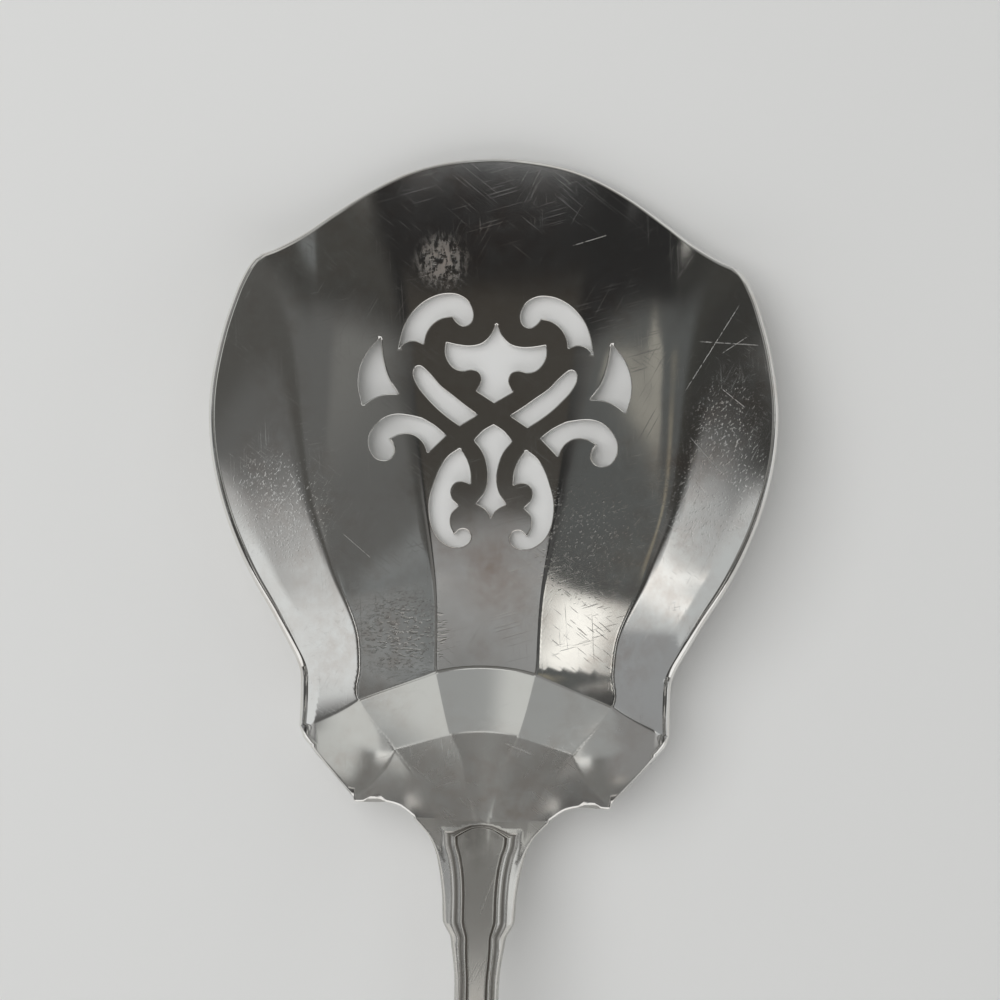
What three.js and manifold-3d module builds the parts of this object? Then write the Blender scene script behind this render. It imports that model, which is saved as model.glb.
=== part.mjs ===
// Pierced tomato server in silver, lying flat as it is laid on a table.
// The bowl points to +Y, the handle to -Y, and +Z is up. The origin is on the
// table under the middle of the piece. All sizes are in millimetres.
import * as THREE from 'three';
import { mergeVertices } from 'three/addons/utils/BufferGeometryUtils.js';
import Module from 'manifold-3d';

const wasm = await Module();
wasm.setup();

// Driving dimensions of the whole
const overallLength = 197;
const bowlWidth = 71.8;
const bowlLength = 65.8; // floor crease to front tip
const shoulderLength = 18.7; // floor crease to handle joint
const plateThickness = 1.2;
const jointWidth = 17.2;
const jointThickness = 2.6;
const seamThickness = 0.15; // film of hard solder between bowl and handle

// Heights of the inside of the bowl above its flat floor
const frontRise = 2.2;
const creaseRise = 0.4;
const creaseRiseLength = 12;
const frontRiseStart = 0.62; // share of the bowl's length
const wallRise = 4.2; // steep facets, floor crease to shoulder crease
const neckRise = 3.2; // shoulder crease to handle joint

// Handle
const neckWidth = 8.9;
const stemWidth = 5.5;
const terminalWidth = 17;
const handleThickness = 2.9;
const handleEdgeThickness = 2.2;
const terminalThickness = 2.3;
const bevelDepth = 0.9; // fall of the bevel from the frame to the handle's edge
const archHeight = 15.4; // highest point of the handle's upper face
const archPlace = 36; // distance of that point from the joint
const threadRelief = 0.2;
const endSlope = -0.16; // fall of the handle at its end, per millimetre

// Pierced pattern, placed by the point where its two straps cross
const pierceFromFront = 31.4;

// Rounding of the creases, and the length over which handle and bowl blend
const creaseRounding = 0.3;
const undersideSoftening = 1;
const jointBlend = 7;

// Places along the length
const frontY = overallLength / 2;
const creaseY = frontY - bowlLength;
const seamFrontY = creaseY - shoulderLength;
const jointY = seamFrontY - seamThickness;
const handleEndY = -overallLength / 2;
const floorZ = plateThickness;

// Small helpers for profiles

function clamp01(t) {
  return Math.min(1, Math.max(0, t));
}

function smoothStep(t) {
  const s = clamp01(t);
  return s * s * (3 - 2 * s);
}

// Height above a fold line: zero before it, rising at slope 1 after it, with
// the corner rounded over the given half width.
function foldRamp(distance, halfWidth) {
  if (distance <= -halfWidth) return 0;
  if (distance >= halfWidth) return distance;
  const s = (distance + halfWidth) / (2 * halfWidth);
  return 2 * halfWidth * (s ** 3 - s ** 4 / 2);
}

// Smooth function through stations given as [place, value], rising in place
function throughStations(stations) {
  const slopes = stations.map((station, i) => {
    const before = stations[Math.max(0, i - 1)];
    const after = stations[Math.min(stations.length - 1, i + 1)];
    return (after[1] - before[1]) / (after[0] - before[0]);
  });
  return (place) => {
    let i = 0;
    while (i < stations.length - 2 && place > stations[i + 1][0]) i += 1;
    const [start, end] = [stations[i], stations[i + 1]];
    const span = end[0] - start[0];
    const t = clamp01((place - start[0]) / span);
    const t2 = t * t;
    const t3 = t2 * t;
    return (2 * t3 - 3 * t2 + 1) * start[1] + (t3 - 2 * t2 + t) * span * slopes[i]
      + (3 * t2 - 2 * t3) * end[1] + (t3 - t2) * span * slopes[i + 1];
  };
}

// Straight lines through stations given as [place, value]
function lineStations(stations) {
  return (place) => {
    let i = 0;
    while (i < stations.length - 2 && place > stations[i + 1][0]) i += 1;
    const [start, end] = [stations[i], stations[i + 1]];
    return start[1] + (end[1] - start[1]) * (place - start[0]) / (end[0] - start[0]);
  };
}

// Bowl surface. Stations along it run from -1 at the joint over 0 at the floor
// crease to 1 at the front tip, and places across it are shares of half its width.

const halfBowl = bowlWidth / 2;

function alongBowl(y) {
  const distance = y - creaseY;
  return distance / (distance > 0 ? bowlLength : shoulderLength);
}

function placeY(along) {
  return creaseY + along * (along > 0 ? bowlLength : shoulderLength);
}

// The folds between the panels, from the middle panel out
const folds = [
  {
    across: throughStations([[-1, 0.03], [-0.6, 0.08], [-0.42, 0.125], [-0.04, 0.178], [0.15, 0.192],
      [0.34, 0.247], [0.55, 0.295], [1, 0.34]]),
    slope: throughStations([[-1, 0.04], [-0.45, 0.22], [0, 0.32], [0.45, 0.24], [1, 0.13]]),
    rounding: throughStations([[-1, 2], [-0.5, 0.35], [0, 0.35], [0.2, 0.6], [0.45, 2.6], [1, 8]]),
  },
  {
    across: throughStations([[-1, 0.16], [-0.75, 0.23], [-0.55, 0.315], [-0.22, 0.455], [0.05, 0.462],
      [0.19, 0.56], [0.33, 0.638], [0.5, 0.665], [0.7, 0.66], [1, 0.62]]),
    slope: throughStations([[-1, 0.04], [-0.75, 0.24], [-0.57, 0.34], [-0.25, 0.38], [0, 0.38], [0.5, 0.36],
      [0.8, 0.3], [1, 0.28]]),
    rounding: throughStations([[-1, 2], [-0.5, 0.4], [0, 0.4], [0.2, 0.8], [0.45, 3], [1, 10]]),
  },
  {
    across: throughStations([[-1, 0.5], [-0.4, 0.6], [-0.1, 0.6], [0.03, 0.645], [0.11, 0.7], [0.2, 0.79],
      [0.35, 0.9], [1, 0.95]]),
    slope: throughStations([[-1, 0], [-0.6, 0], [-0.3, 0.25], [0.02, 0.35], [0.2, 0.25], [0.4, 0], [1, 0]]),
    rounding: throughStations([[-1, 0.5], [0, 0.5], [0.4, 2.5], [1, 4]]),
  },
];

const sheetOverhang = 2; // width of sheet outside the widest outline, before trimming

// Lines that part the panels of the right half at a station, from the middle out
function panelEdges(y) {
  const along = alongBowl(y);
  return [0, ...folds.map((fold) => fold.across(along) * halfBowl), halfBowl + sheetOverhang];
}

// Place across the bowl counted in panels: 0 in the middle and 1 at the first fold
function panelPlace(x, y) {
  const edges = panelEdges(y);
  const across = Math.abs(x);
  let panel = 0;
  while (panel < edges.length - 2 && across > edges[panel + 1]) panel += 1;
  return panel + (across - edges[panel]) / (edges[panel + 1] - edges[panel]);
}

// The two creases that cross the shoulder, as distances behind the floor
// crease's middle, straight over each panel and arched over the middle one
const floorCreaseArch = 0.8;
const shoulderCreaseArch = 0.5;
const floorCreaseOutside = lineStations([[1, floorCreaseArch], [2, 4.4], [3, 7], [4, 13.4]]);
const shoulderCreaseMiddle = 7.8;
const shoulderCreaseOutside = lineStations([[1, shoulderCreaseMiddle + shoulderCreaseArch], [2, 10.3],
  [3, 21.2], [4, 38.7]]);

function floorLine(x, y) {
  const place = panelPlace(x, y);
  return creaseY - (place < 1 ? floorCreaseArch * place ** 2 : floorCreaseOutside(place));
}

function shoulderLine(x, y) {
  const place = panelPlace(x, y);
  if (place > 1) return creaseY - shoulderCreaseOutside(place);
  return creaseY - shoulderCreaseMiddle - shoulderCreaseArch * place ** 2;
}

const neckSlope = neckRise / (shoulderLength - shoulderCreaseMiddle);

function bowlSpine(x, y, rounding) {
  const low = floorLine(x, y);
  const high = shoulderLine(x, y);
  const wallSlope = wallRise / (low - high);
  const front = (frontY - y) / (frontY - placeY(frontRiseStart));
  const frontLift = frontRise * Math.max(0, 1 - front) ** 2;
  const creaseLift = creaseRise * clamp01(1 - (y - low) / creaseRiseLength) ** 2;
  return floorZ + frontLift + creaseLift
    + wallSlope * foldRamp(low - y, rounding)
    - (wallSlope - neckSlope) * foldRamp(high - y, rounding);
}

function bowlTop(x, y, extraRounding = 0) {
  const along = alongBowl(y);
  let z = bowlSpine(x, y, creaseRounding + extraRounding);
  for (const fold of folds) {
    const distance = Math.abs(x) - fold.across(along) * halfBowl;
    z += fold.slope(along) * foldRamp(distance, fold.rounding(along) + extraRounding);
  }
  return z;
}

function bowlThickness(x, y) {
  const towardJoint = smoothStep(-alongBowl(y));
  const towardMiddle = clamp01(1 - (2 * x / jointWidth) ** 2);
  return plateThickness + (jointThickness - plateThickness) * towardJoint * towardMiddle;
}

// The underside lies one thickness below the upper face, measured square to it
function bowlBottom(x, y) {
  const step = 0.05;
  const soft = (px, py) => bowlTop(px, py, undersideSoftening);
  const slopeX = (soft(x + step, y) - soft(x - step, y)) / (2 * step);
  const slopeY = (soft(x, y + step) - soft(x, y - step)) / (2 * step);
  return bowlTop(x, y) - bowlThickness(x, y) * Math.hypot(1, slopeX, slopeY);
}

// Closed body through a row of sections, from the back to the front. Each has
// an upper and a lower line of points, both from left to right.
function loftSections(sections) {
  const rings = sections.map(({ top, bottom }) => [...top, ...[...bottom].reverse()]);
  const positions = rings.flat().flatMap((point) => [point.x, point.y, point.z]);
  const count = rings[0].length;
  const triangles = [];
  for (let row = 0; row < rings.length - 1; row += 1) {
    for (let i = 0; i < count; i += 1) {
      const a = row * count + i;
      const b = row * count + (i + 1) % count;
      triangles.push(a, b, a + count, b, b + count, a + count);
    }
  }
  const lastStart = (rings.length - 1) * count;
  for (const corners of sectionCap(sections[0])) triangles.push(...corners);
  for (const [a, b, c] of sectionCap(sections[sections.length - 1])) {
    triangles.push(c + lastStart, b + lastStart, a + lastStart);
  }
  const geometry = new THREE.BufferGeometry();
  geometry.setAttribute('position', new THREE.Float32BufferAttribute(positions, 3));
  geometry.setIndex(triangles);
  return geometry;
}

// Triangles that close a section, worked from left to right between its lines
function sectionCap({ top, bottom }) {
  const last = top.length + bottom.length - 1;
  const triangles = [];
  let upper = 0;
  let lower = 0;
  while (upper < top.length - 1 || lower < bottom.length - 1) {
    const lowerIsDone = lower === bottom.length - 1;
    const upperIsNext = upper < top.length - 1 && (lowerIsDone || top[upper + 1].x <= bottom[lower + 1].x);
    if (upperIsNext) {
      triangles.push([last - lower, upper + 1, upper]);
      upper += 1;
    } else {
      triangles.push([last - lower, last - lower - 1, upper]);
      lower += 1;
    }
  }
  return triangles;
}

function toSolid(geometry) {
  const bare = geometry.clone();
  bare.deleteAttribute('normal');
  bare.deleteAttribute('uv');
  const merged = mergeVertices(bare);
  return new wasm.Manifold(new wasm.Mesh({
    numProp: 3,
    vertProperties: new Float32Array(merged.attributes.position.array),
    triVerts: new Uint32Array(merged.index.array),
  }));
}

function toGeometry(solid) {
  const mesh = solid.getMesh();
  const geometry = new THREE.BufferGeometry();
  geometry.setAttribute('position', new THREE.BufferAttribute(mesh.vertProperties, 3));
  geometry.setIndex(new THREE.BufferAttribute(mesh.triVerts, 1));
  return geometry;
}

// Outline of the bowl and shoulder, right half, from the front tip to the joint

function mirrorPath(points) {
  return points.map(([x, y]) => [-x, y]).reverse();
}

// Points along a smooth curve through the given ones, or the two ends of a line
function curvePoints(points, stepsPerSpan) {
  if (points.length < 3) return points;
  const curve = new THREE.SplineCurve(points.map(([x, y]) => new THREE.Vector2(x, y)));
  return curve.getPoints((points.length - 1) * stepsPerSpan).map((point) => [point.x, point.y]);
}

function bowlOutline() {
  const at = (across, along) => [across * halfBowl, placeY(along)];
  const frontRun = [at(-0.178, 0.991), at(0, 1), at(0.178, 0.991), at(0.32, 0.97), at(0.46, 0.932),
    at(0.6, 0.88), at(0.7, 0.839), at(0.79, 0.808), at(0.845, 0.793)];
  const sideRuns = [
    [at(0.87, 0.782), at(0.895, 0.76), at(0.932, 0.71), at(0.975, 0.62), at(1, 0.51), at(0.985, 0.4),
      at(0.932, 0.29), at(0.85, 0.187), at(0.757, 0.1), at(0.685, 0.025), at(0.66, -0.03)],
    [at(0.656, -0.08), at(0.655, -0.4)],
    [at(0.64, -0.47), at(0.615, -0.515)],
    [at(0.463, -0.87), at(0.445, -0.9), at(0.418, -0.9)],
    [at(0.34, -0.9), at(0.29, -0.93), [jointWidth / 2, seamFrontY]],
  ];
  const steps = 3;
  const frontHalf = curvePoints(frontRun, steps).slice(steps);
  const half = [...frontHalf, ...sideRuns.flatMap((run) => curvePoints(run, steps))];
  const behind = 1;
  return [...mirrorPath(half), ...half.slice(1),
    [jointWidth / 2, seamFrontY - behind], [-jointWidth / 2, seamFrontY - behind]];
}

function shapeFrom(points) {
  return new THREE.Shape(points.map(([x, y]) => new THREE.Vector2(x, y)));
}

function cutterThrough(path) {
  const depth = 60;
  const prism = new THREE.ExtrudeGeometry(shapeFrom(path), { depth, bevelEnabled: false });
  prism.translate(0, 0, -depth / 2);
  return toSolid(prism);
}

// Pierced pattern. Each hole is a chain of stretches that meet in cusps, with
// x from the middle of the bowl and y from the crossing of the straps.

const crescentHole = [
  [[14.9, 7.9], [16.5, 5.9], [17.4, 3.6], [17.5, 1.4], [16.9, -0.9]],
  [[16.9, -0.9], [15.5, 0.1], [14.1, 0.6], [12.4, 0.7]],
  [[12.4, 0.7], [13.7, 2.7], [14.5, 5.2], [14.9, 7.9]],
];
const upperScrollHole = [
  [[12.5, 6.7], [12.1, 8.7], [11.4, 10.5], [10.3, 11.9], [8.9, 13], [7.1, 13.7], [5.2, 13.7],
    [3.7, 12.8], [3.1, 11.2], [3.5, 10.1], [4.4, 9.8], [5.2, 10.3], [5.7, 11]],
  [[5.7, 11], [7.1, 10.7], [8.3, 9.9], [9.1, 8.7], [9.4, 7.3]],
  [[9.4, 7.3], [10.5, 7.7], [11.6, 7.5], [12.5, 6.7]],
];
const crownHole = [
  [[0, 10.1], [0.7, 8.6], [1.8, 7.5], [3.3, 7.1], [4.9, 7.2], [6.4, 7.5]],
  [[6.4, 7.5], [6.5, 6.3], [6.1, 5.2], [5.3, 4.3], [4.2, 4], [3, 4.2], [2, 3.8], [1.7, 2.7], [2.3, 1.4]],
  [[2.3, 1.4], [0, 0]],
];
const slotHole = [
  [[4.4, -3.1], [5.9, -2.1], [7.4, -0.9], [8.7, 0.4], [9.8, 1.7], [10.5, 3.1], [10.4, 4.1],
    [9.6, 4.3], [8.3, 3.2], [7, 1.8], [5.4, 0.6], [3.8, -0.6], [2.2, -1.7]],
  [[2.2, -1.7], [4.4, -3.1]],
];
const lowerScrollHole = [
  [[6.2, -4.5], [7.7, -3.3], [9.4, -2.4]],
  [[9.4, -2.4], [10.9, -2.1], [12.5, -2], [13.9, -2.4], [15.1, -3.4], [15.9, -4.8], [15.9, -6.3],
    [15.1, -7.6], [13.8, -7.9], [12.9, -7.3], [12.7, -6.2], [13.4, -5.1]],
  [[13.4, -5.1], [12, -4.4], [10.4, -4.4], [9.1, -5.3], [8.4, -6.7]],
  [[8.4, -6.7], [6.2, -4.5]],
];
const teardropHole = [
  [[4.3, -6.2], [5.7, -7.2], [6.7, -8.7], [7.4, -10.5], [7.9, -12.3], [8, -14.1], [7.7, -16],
    [6.9, -17.6], [5.5, -18.7], [3.9, -18.9], [2.8, -18.3], [2.5, -17.4]],
  [[2.5, -17.4], [3, -16.7], [3.9, -16.6], [4.7, -17.3]],
  [[4.7, -17.3], [5.3, -16], [5.2, -14.6], [4.3, -13.6]],
  [[4.3, -13.6], [5.1, -12.7], [5.4, -11.6], [4.9, -10.6], [3.9, -10.3], [2.8, -10.6]],
  [[2.8, -10.6], [2.9, -9], [3.4, -7.5], [4.3, -6.2]],
];
const lyreHole = [
  [[0, -3], [1.3, -3.8], [2.4, -5]],
  [[2.4, -5], [1.3, -6.4], [0.7, -8.1], [0.5, -10], [0.9, -11.7], [1.9, -13.2]],
  [[1.9, -13.2], [1.1, -13.6], [0.4, -14.2], [0, -15]],
];

function holePath(stretches) {
  return stretches.flatMap((stretch) => curvePoints(stretch, 2).slice(0, -1));
}

function pierceCutters() {
  const crossingY = frontY - pierceFromFront;
  const placed = (path) => path.map(([x, y]) => [x, y + crossingY]);
  const sideHoles = [crescentHole, upperScrollHole, slotHole, lowerScrollHole, teardropHole].map(holePath);
  const middleHalves = [crownHole, lyreHole].map(holePath);
  const paths = [
    ...sideHoles,
    ...sideHoles.map(mirrorPath),
    ...middleHalves.map((half) => [...half, ...mirrorPath(half)]),
  ];
  return paths.map((path) => cutterThrough(placed(path)));
}

// Bowl: a formed sheet, trimmed to its outline and pierced

function bowlSheetSections() {
  const panelSteps = [3, 5, 4, 3];
  const shoulderSteps = 4;
  const wallSteps = 3;
  const bowlSteps = 20;
  const stepsIn = (steps, panel) => Array.from({ length: steps }, (_, i) => panel + i / steps);
  const half = [...panelSteps.flatMap(stepsIn), panelSteps.length];
  const columns = [...half.slice(1).reverse().map((place) => -place), ...half];
  const crossX = (place, y) => {
    const edges = panelEdges(y);
    const panel = Math.min(panelSteps.length - 1, Math.floor(Math.abs(place)));
    const within = Math.abs(place) - panel;
    return Math.sign(place) * (edges[panel] + (edges[panel + 1] - edges[panel]) * within);
  };
  const between = (start, end, steps) => Array.from({ length: steps }, (_, i) => (x, y) => {
    const [low, high] = [start(x, y), end(x, y)];
    return low + (high - low) * i / steps;
  });
  const joint = () => seamFrontY;
  const shoulder = (x, y) => Math.max(shoulderLine(x, y), seamFrontY + 0.5);
  const front = () => frontY + sheetOverhang;
  const rows = [
    ...between(joint, shoulder, shoulderSteps),
    ...between(shoulder, floorLine, wallSteps),
    ...between(floorLine, front, bowlSteps),
    front,
  ];
  return rows.map((rowY) => {
    const top = columns.map((place) => {
      let y = creaseY;
      for (let pass = 0; pass < 16; pass += 1) y = rowY(crossX(place, y), y);
      const x = crossX(place, y);
      return new THREE.Vector3(x, y, bowlTop(x, y));
    });
    const bottom = top.map(({ x, y }) => new THREE.Vector3(x, y, bowlBottom(x, y)));
    return { top, bottom };
  });
}

function makeBowl() {
  let solid = toSolid(loftSections(bowlSheetSections()));
  solid = solid.intersect(cutterThrough(bowlOutline()));
  for (const cutter of pierceCutters()) solid = solid.subtract(cutter);
  return toGeometry(solid);
}

// Film of solder between bowl and handle: the bowl's own section at the joint

function makeSeam() {
  const half = jointWidth / 2;
  const steps = 20;
  const section = (y) => {
    const xs = Array.from({ length: steps + 1 }, (_, i) => half * (2 * i / steps - 1));
    const top = xs.map((x) => new THREE.Vector3(x, y, bowlTop(x, seamFrontY)));
    const bottom = xs.map((x) => new THREE.Vector3(x, y, bowlBottom(x, seamFrontY)));
    return { top, bottom };
  };
  return loftSections([section(jointY), section(seamFrontY)]);
}

// Handle. Stations near the bowl are distances behind the joint, and those of
// the terminal are distances before the handle's end.

const handleLength = jointY - handleEndY;
const neckZone = 22;
const terminalZone = 48;
const neckHalf = neckWidth / 2;
const stemHalf = stemWidth / 2;
const terminalHalf = terminalWidth / 2;

const neckOutline = throughStations([[0, jointWidth / 2], [0.9, neckHalf + 3.2], [2.1, neckHalf + 2.15],
  [3.8, neckHalf + 1.3], [5.8, neckHalf + 0.78], [7.6, neckHalf + 0.45], [9.5, neckHalf + 0.22],
  [11.6, neckHalf + 0.1], [12.4, neckHalf], [13.2, neckHalf - 0.42], [14, neckHalf - 0.9],
  [15.1, stemHalf + 0.6], [17, stemHalf + 0.3], [19, stemHalf + 0.08], [neckZone, stemHalf]]);
const terminalOutline = throughStations([[0, 0.5], [0.25, 1.7], [0.8, 3], [2, 4.8], [4, terminalHalf - 1.9],
  [6.5, terminalHalf - 0.8], [9.5, terminalHalf - 0.2], [13, terminalHalf], [17, terminalHalf - 0.5],
  [20.5, terminalHalf - 1.8], [22.6, terminalHalf - 3.2], [23.6, terminalHalf - 3.6],
  [24.6, terminalHalf - 4.1], [27, stemHalf + 1.5], [34, stemHalf + 0.95], [terminalZone, stemHalf + 0.45]]);
const bevelWidth = throughStations([[0, 3.3], [2.8, 1.6], [4.3, 1.45], [5.9, 1.4], [9.5, 1.15],
  [12.4, 1], [14, 0.85], [16, 0.6], [neckZone, 0.45]]);

function handleHalf(y) {
  const behindJoint = jointY - y;
  const beforeEnd = y - handleEndY;
  if (behindJoint < neckZone) return neckOutline(behindJoint);
  if (beforeEnd < terminalZone) return terminalOutline(beforeEnd);
  const t = (behindJoint - neckZone) / (handleLength - neckZone - terminalZone);
  return stemHalf + (terminalOutline(terminalZone) - stemHalf) * smoothStep(t);
}

function frameHalf(y) {
  const bevel = bevelWidth(Math.min(neckZone, jointY - y));
  return Math.max(0.3, handleHalf(y) - bevel * edgeSlant(y));
}

// How much longer a level measure is than one square to the sloping outline
function edgeSlant(y) {
  const step = 0.1;
  const low = Math.max(handleEndY, y - step);
  const high = Math.min(jointY, y + step);
  if (jointY - y < neckZone) return 1;
  return Math.hypot(1, (handleHalf(high) - handleHalf(low)) / (high - low));
}

// The arched moulding that closes the frame toward the bowl
const archDrop = lineStations([[0, 0.3], [1.3, 0.42], [2.6, 0.9], [3.5, 1.2], [4.4, 1.25], [5.4, 1.05],
  [10, 1.05]]);

// Moulding by distance inside the frame's edge: a ridge, a hollow, a bead and
// a groove round the sunk panel
const threadProfile = lineStations([[0, 0.5 * threadRelief], [0.12, threadRelief],
  [0.45, -0.2 * threadRelief], [0.95, -0.2 * threadRelief], [1.28, threadRelief],
  [1.62, -0.8 * threadRelief], [1.85, -0.2 * threadRelief], [2.5, -0.2 * threadRelief]]);
const threadLines = [1.85, 1.62, 1.28, 0.95, 0.45, 0.12];

// The moulding is drawn in where the handle is slender
const mouldWidest = 0.95;
const mouldSlimmest = 0.68;
const mouldWidestFrom = 3.4; // half width of the frame

function mouldShare(y) {
  return Math.min(mouldWidest, Math.max(mouldSlimmest, mouldWidest * frameHalf(y) / mouldWidestFrom));
}

function cubicBetween(start, end, t, span) {
  const t2 = t * t;
  const t3 = t2 * t;
  return (2 * t3 - 3 * t2 + 1) * start.z + (t3 - 2 * t2 + t) * span * start.slope
    + (3 * t2 - 2 * t3) * end.z + (t3 - t2) * span * end.slope;
}

function handleSpine(y) {
  const joint = { z: bowlTop(0, seamFrontY), slope: neckSlope };
  const arch = { z: archHeight, slope: 0 };
  const end = { z: terminalThickness, slope: endSlope };
  const behindJoint = jointY - y;
  if (behindJoint < archPlace) return cubicBetween(joint, arch, behindJoint / archPlace, archPlace);
  const span = handleLength - archPlace;
  return cubicBetween(arch, end, (behindJoint - archPlace) / span, span);
}

function handlePlainTop(x, y) {
  const nearJoint = 1 - smoothStep((jointY - y) / jointBlend);
  return handleSpine(y) + nearJoint * (bowlTop(x, seamFrontY) - bowlTop(0, seamFrontY));
}

function handleTop(x, y) {
  const across = Math.abs(x);
  const frame = frameHalf(y);
  const half = handleHalf(y);
  const fromSide = (frame - across) / (edgeSlant(y) * mouldShare(y));
  const inside = Math.min(fromSide, jointY - archDrop(across) - y);
  const mould = inside > 0 ? threadProfile(inside) : 0;
  const bevelDrop = bevelDepth * smoothStep((jointY - y) / jointBlend);
  const outside = clamp01((across - frame) / (half - frame));
  return handlePlainTop(x, y) + mould - bevelDrop * outside ** 1.5;
}

function handleBottom(x, y) {
  const share = (x / handleHalf(y)) ** 2;
  const nearJoint = 1 - smoothStep((jointY - y) / jointBlend);
  const nearEnd = 1 - smoothStep((y - handleEndY) / terminalZone);
  const middle = handleThickness + (jointThickness - handleThickness) * nearJoint
    + (terminalThickness - handleThickness) * nearEnd;
  const edge = handleEdgeThickness + (plateThickness - handleEdgeThickness) * nearJoint
    - (handleThickness - terminalThickness) * nearEnd / 3;
  return handlePlainTop(x, y) - middle + (middle - edge) * share;
}

function handleColumns(y) {
  const half = handleHalf(y);
  const frame = frameHalf(y);
  const widening = edgeSlant(y) * mouldShare(y);
  const inner = threadLines.map((line, i) => Math.max(frame - line * widening, frame * (i + 2) / 8.2));
  return [0, inner[0] / 2, ...inner, frame, (frame + half) / 2, half];
}

function handleSections() {
  // Rows as distance behind the joint and share of the arch that they follow
  const archRows = [[0, 0], [0.15, 0.5], [0.3, 1], [0.45, 1], [1.15, 1], [1.35, 1], [1.6, 1], [1.9, 1],
    [2.05, 1], [2.8, 0.6], [3.6, 0.3], [4.6, 0]];
  const neckRows = [5.8, 7.6, 9.5, 11, 11.8, 12.4, 12.8, 13.2, 13.6, 14, 15, 17, 19, neckZone];
  const stemRows = 10;
  const terminalRows = [48, 41, 34, 30, 27, 25.5, 24.6, 24, 23.4, 22.6, 21.5, 20, 18, 16, 14, 12, 10, 8, 6.5,
    5, 4, 3, 2.2, 1.5, 0.9, 0.4, 0.15, 0];
  const stemLength = handleLength - neckZone - terminalZone;
  const rows = [
    ...archRows,
    ...neckRows.map((distance) => [distance, 0]),
    ...Array.from({ length: stemRows - 1 }, (_, i) => [neckZone + stemLength * (i + 1) / stemRows, 0]),
    ...terminalRows.map((distance) => [handleLength - distance, 0]),
  ];
  return rows.reverse().map(([distance, archShare]) => {
    const rowY = (x) => jointY - distance - archShare * (archDrop(Math.abs(x)) - archDrop(0));
    const columnCount = handleColumns(jointY - distance).length;
    const half = Array.from({ length: columnCount }, (_, i) => {
      let y = jointY - distance;
      for (let pass = 0; pass < 12; pass += 1) y = rowY(handleColumns(y)[i]);
      return [handleColumns(y)[i], y];
    });
    const across = [...half.slice(1).reverse().map(([x, y]) => [-x, y]), ...half];
    const top = across.map(([x, y]) => new THREE.Vector3(x, y, handleTop(x, y)));
    const edge = half[half.length - 1];
    const bottom = [-1, -0.5, 0, 0.5, 1].map((share) => {
      const x = edge[0] * share;
      const y = Math.abs(share) === 1 ? edge[1] : rowY(x);
      return new THREE.Vector3(x, y, handleBottom(x, y));
    });
    return { top, bottom };
  });
}

function makeHandle() {
  return loftSections(handleSections());
}

const silver = new THREE.MeshStandardMaterial({ color: 0xb9b8b2, roughness: 0.16, metalness: 1 });
const satinSilver = new THREE.MeshStandardMaterial({ color: 0xa9a7a0, roughness: 0.3, metalness: 1 });
const solderSilver = new THREE.MeshStandardMaterial({ color: 0x9f9d96, roughness: 0.35, metalness: 1 });

function namedMesh(name, geometry, material) {
  const mesh = new THREE.Mesh(geometry, material);
  mesh.name = name;
  return mesh;
}

const server = new THREE.Group();
server.add(namedMesh('bowl', makeBowl(), silver));
server.add(namedMesh('solder_seam', makeSeam(), solderSilver));
server.add(namedMesh('handle', makeHandle(), satinSilver));

export default server;
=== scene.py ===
# Pierced silver tomato server, dressed for rendering: a fluted and pierced bowl,
# a seam of hard solder and a handle framed by threads, on a plain pale table.
import math

import bpy
import numpy as np
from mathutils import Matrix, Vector
from mathutils.geometry import delaunay_2d_cdt
from mathutils.kdtree import KDTree


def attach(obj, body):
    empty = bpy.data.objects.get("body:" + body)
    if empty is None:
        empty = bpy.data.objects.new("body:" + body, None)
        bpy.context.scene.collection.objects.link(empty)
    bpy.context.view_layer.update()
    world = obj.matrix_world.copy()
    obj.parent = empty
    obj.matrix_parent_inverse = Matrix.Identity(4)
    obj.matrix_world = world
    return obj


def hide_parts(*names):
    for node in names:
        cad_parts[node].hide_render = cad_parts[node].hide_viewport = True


mm = 0.001
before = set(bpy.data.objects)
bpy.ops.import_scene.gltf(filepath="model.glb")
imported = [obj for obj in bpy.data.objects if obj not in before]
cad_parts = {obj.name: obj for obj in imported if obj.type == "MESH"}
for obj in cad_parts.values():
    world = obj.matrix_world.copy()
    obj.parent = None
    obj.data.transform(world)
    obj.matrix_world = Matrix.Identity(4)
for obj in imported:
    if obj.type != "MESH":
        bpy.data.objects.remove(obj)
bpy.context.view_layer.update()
print("Frame loaded")


# Profiles. Lengths are in millimetres until a mesh is made.

def clamp01(t):
    return np.clip(t, 0, 1)


def smoothStep(t):
    s = clamp01(t)
    return s * s * (3 - 2 * s)


def foldRamp(distance, halfWidth):
    # zero before a fold line, rising at slope 1 after it, its corner rounded
    s = clamp01((distance + halfWidth) / (2 * halfWidth))
    return np.where(distance >= halfWidth, distance, 2 * halfWidth * (s ** 3 - s ** 4 / 2))


def throughStations(stations):
    # smooth function through [place, value] pairs
    places = np.array([s[0] for s in stations], float)
    values = np.array([s[1] for s in stations], float)
    last = len(stations) - 1
    before = [max(0, i - 1) for i in range(last + 1)]
    after = [min(last, i + 1) for i in range(last + 1)]
    slopes = (values[after] - values[before]) / (places[after] - places[before])

    def value(place):
        i = np.clip(np.searchsorted(places, place, side="left") - 1, 0, last - 1)
        span = places[i + 1] - places[i]
        t = clamp01((place - places[i]) / span)
        rise = (2 * t ** 3 - 3 * t ** 2 + 1) * values[i] + (t ** 3 - 2 * t ** 2 + t) * span * slopes[i]
        return rise + (3 * t ** 2 - 2 * t ** 3) * values[i + 1] + (t ** 3 - t ** 2) * span * slopes[i + 1]

    return value


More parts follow.
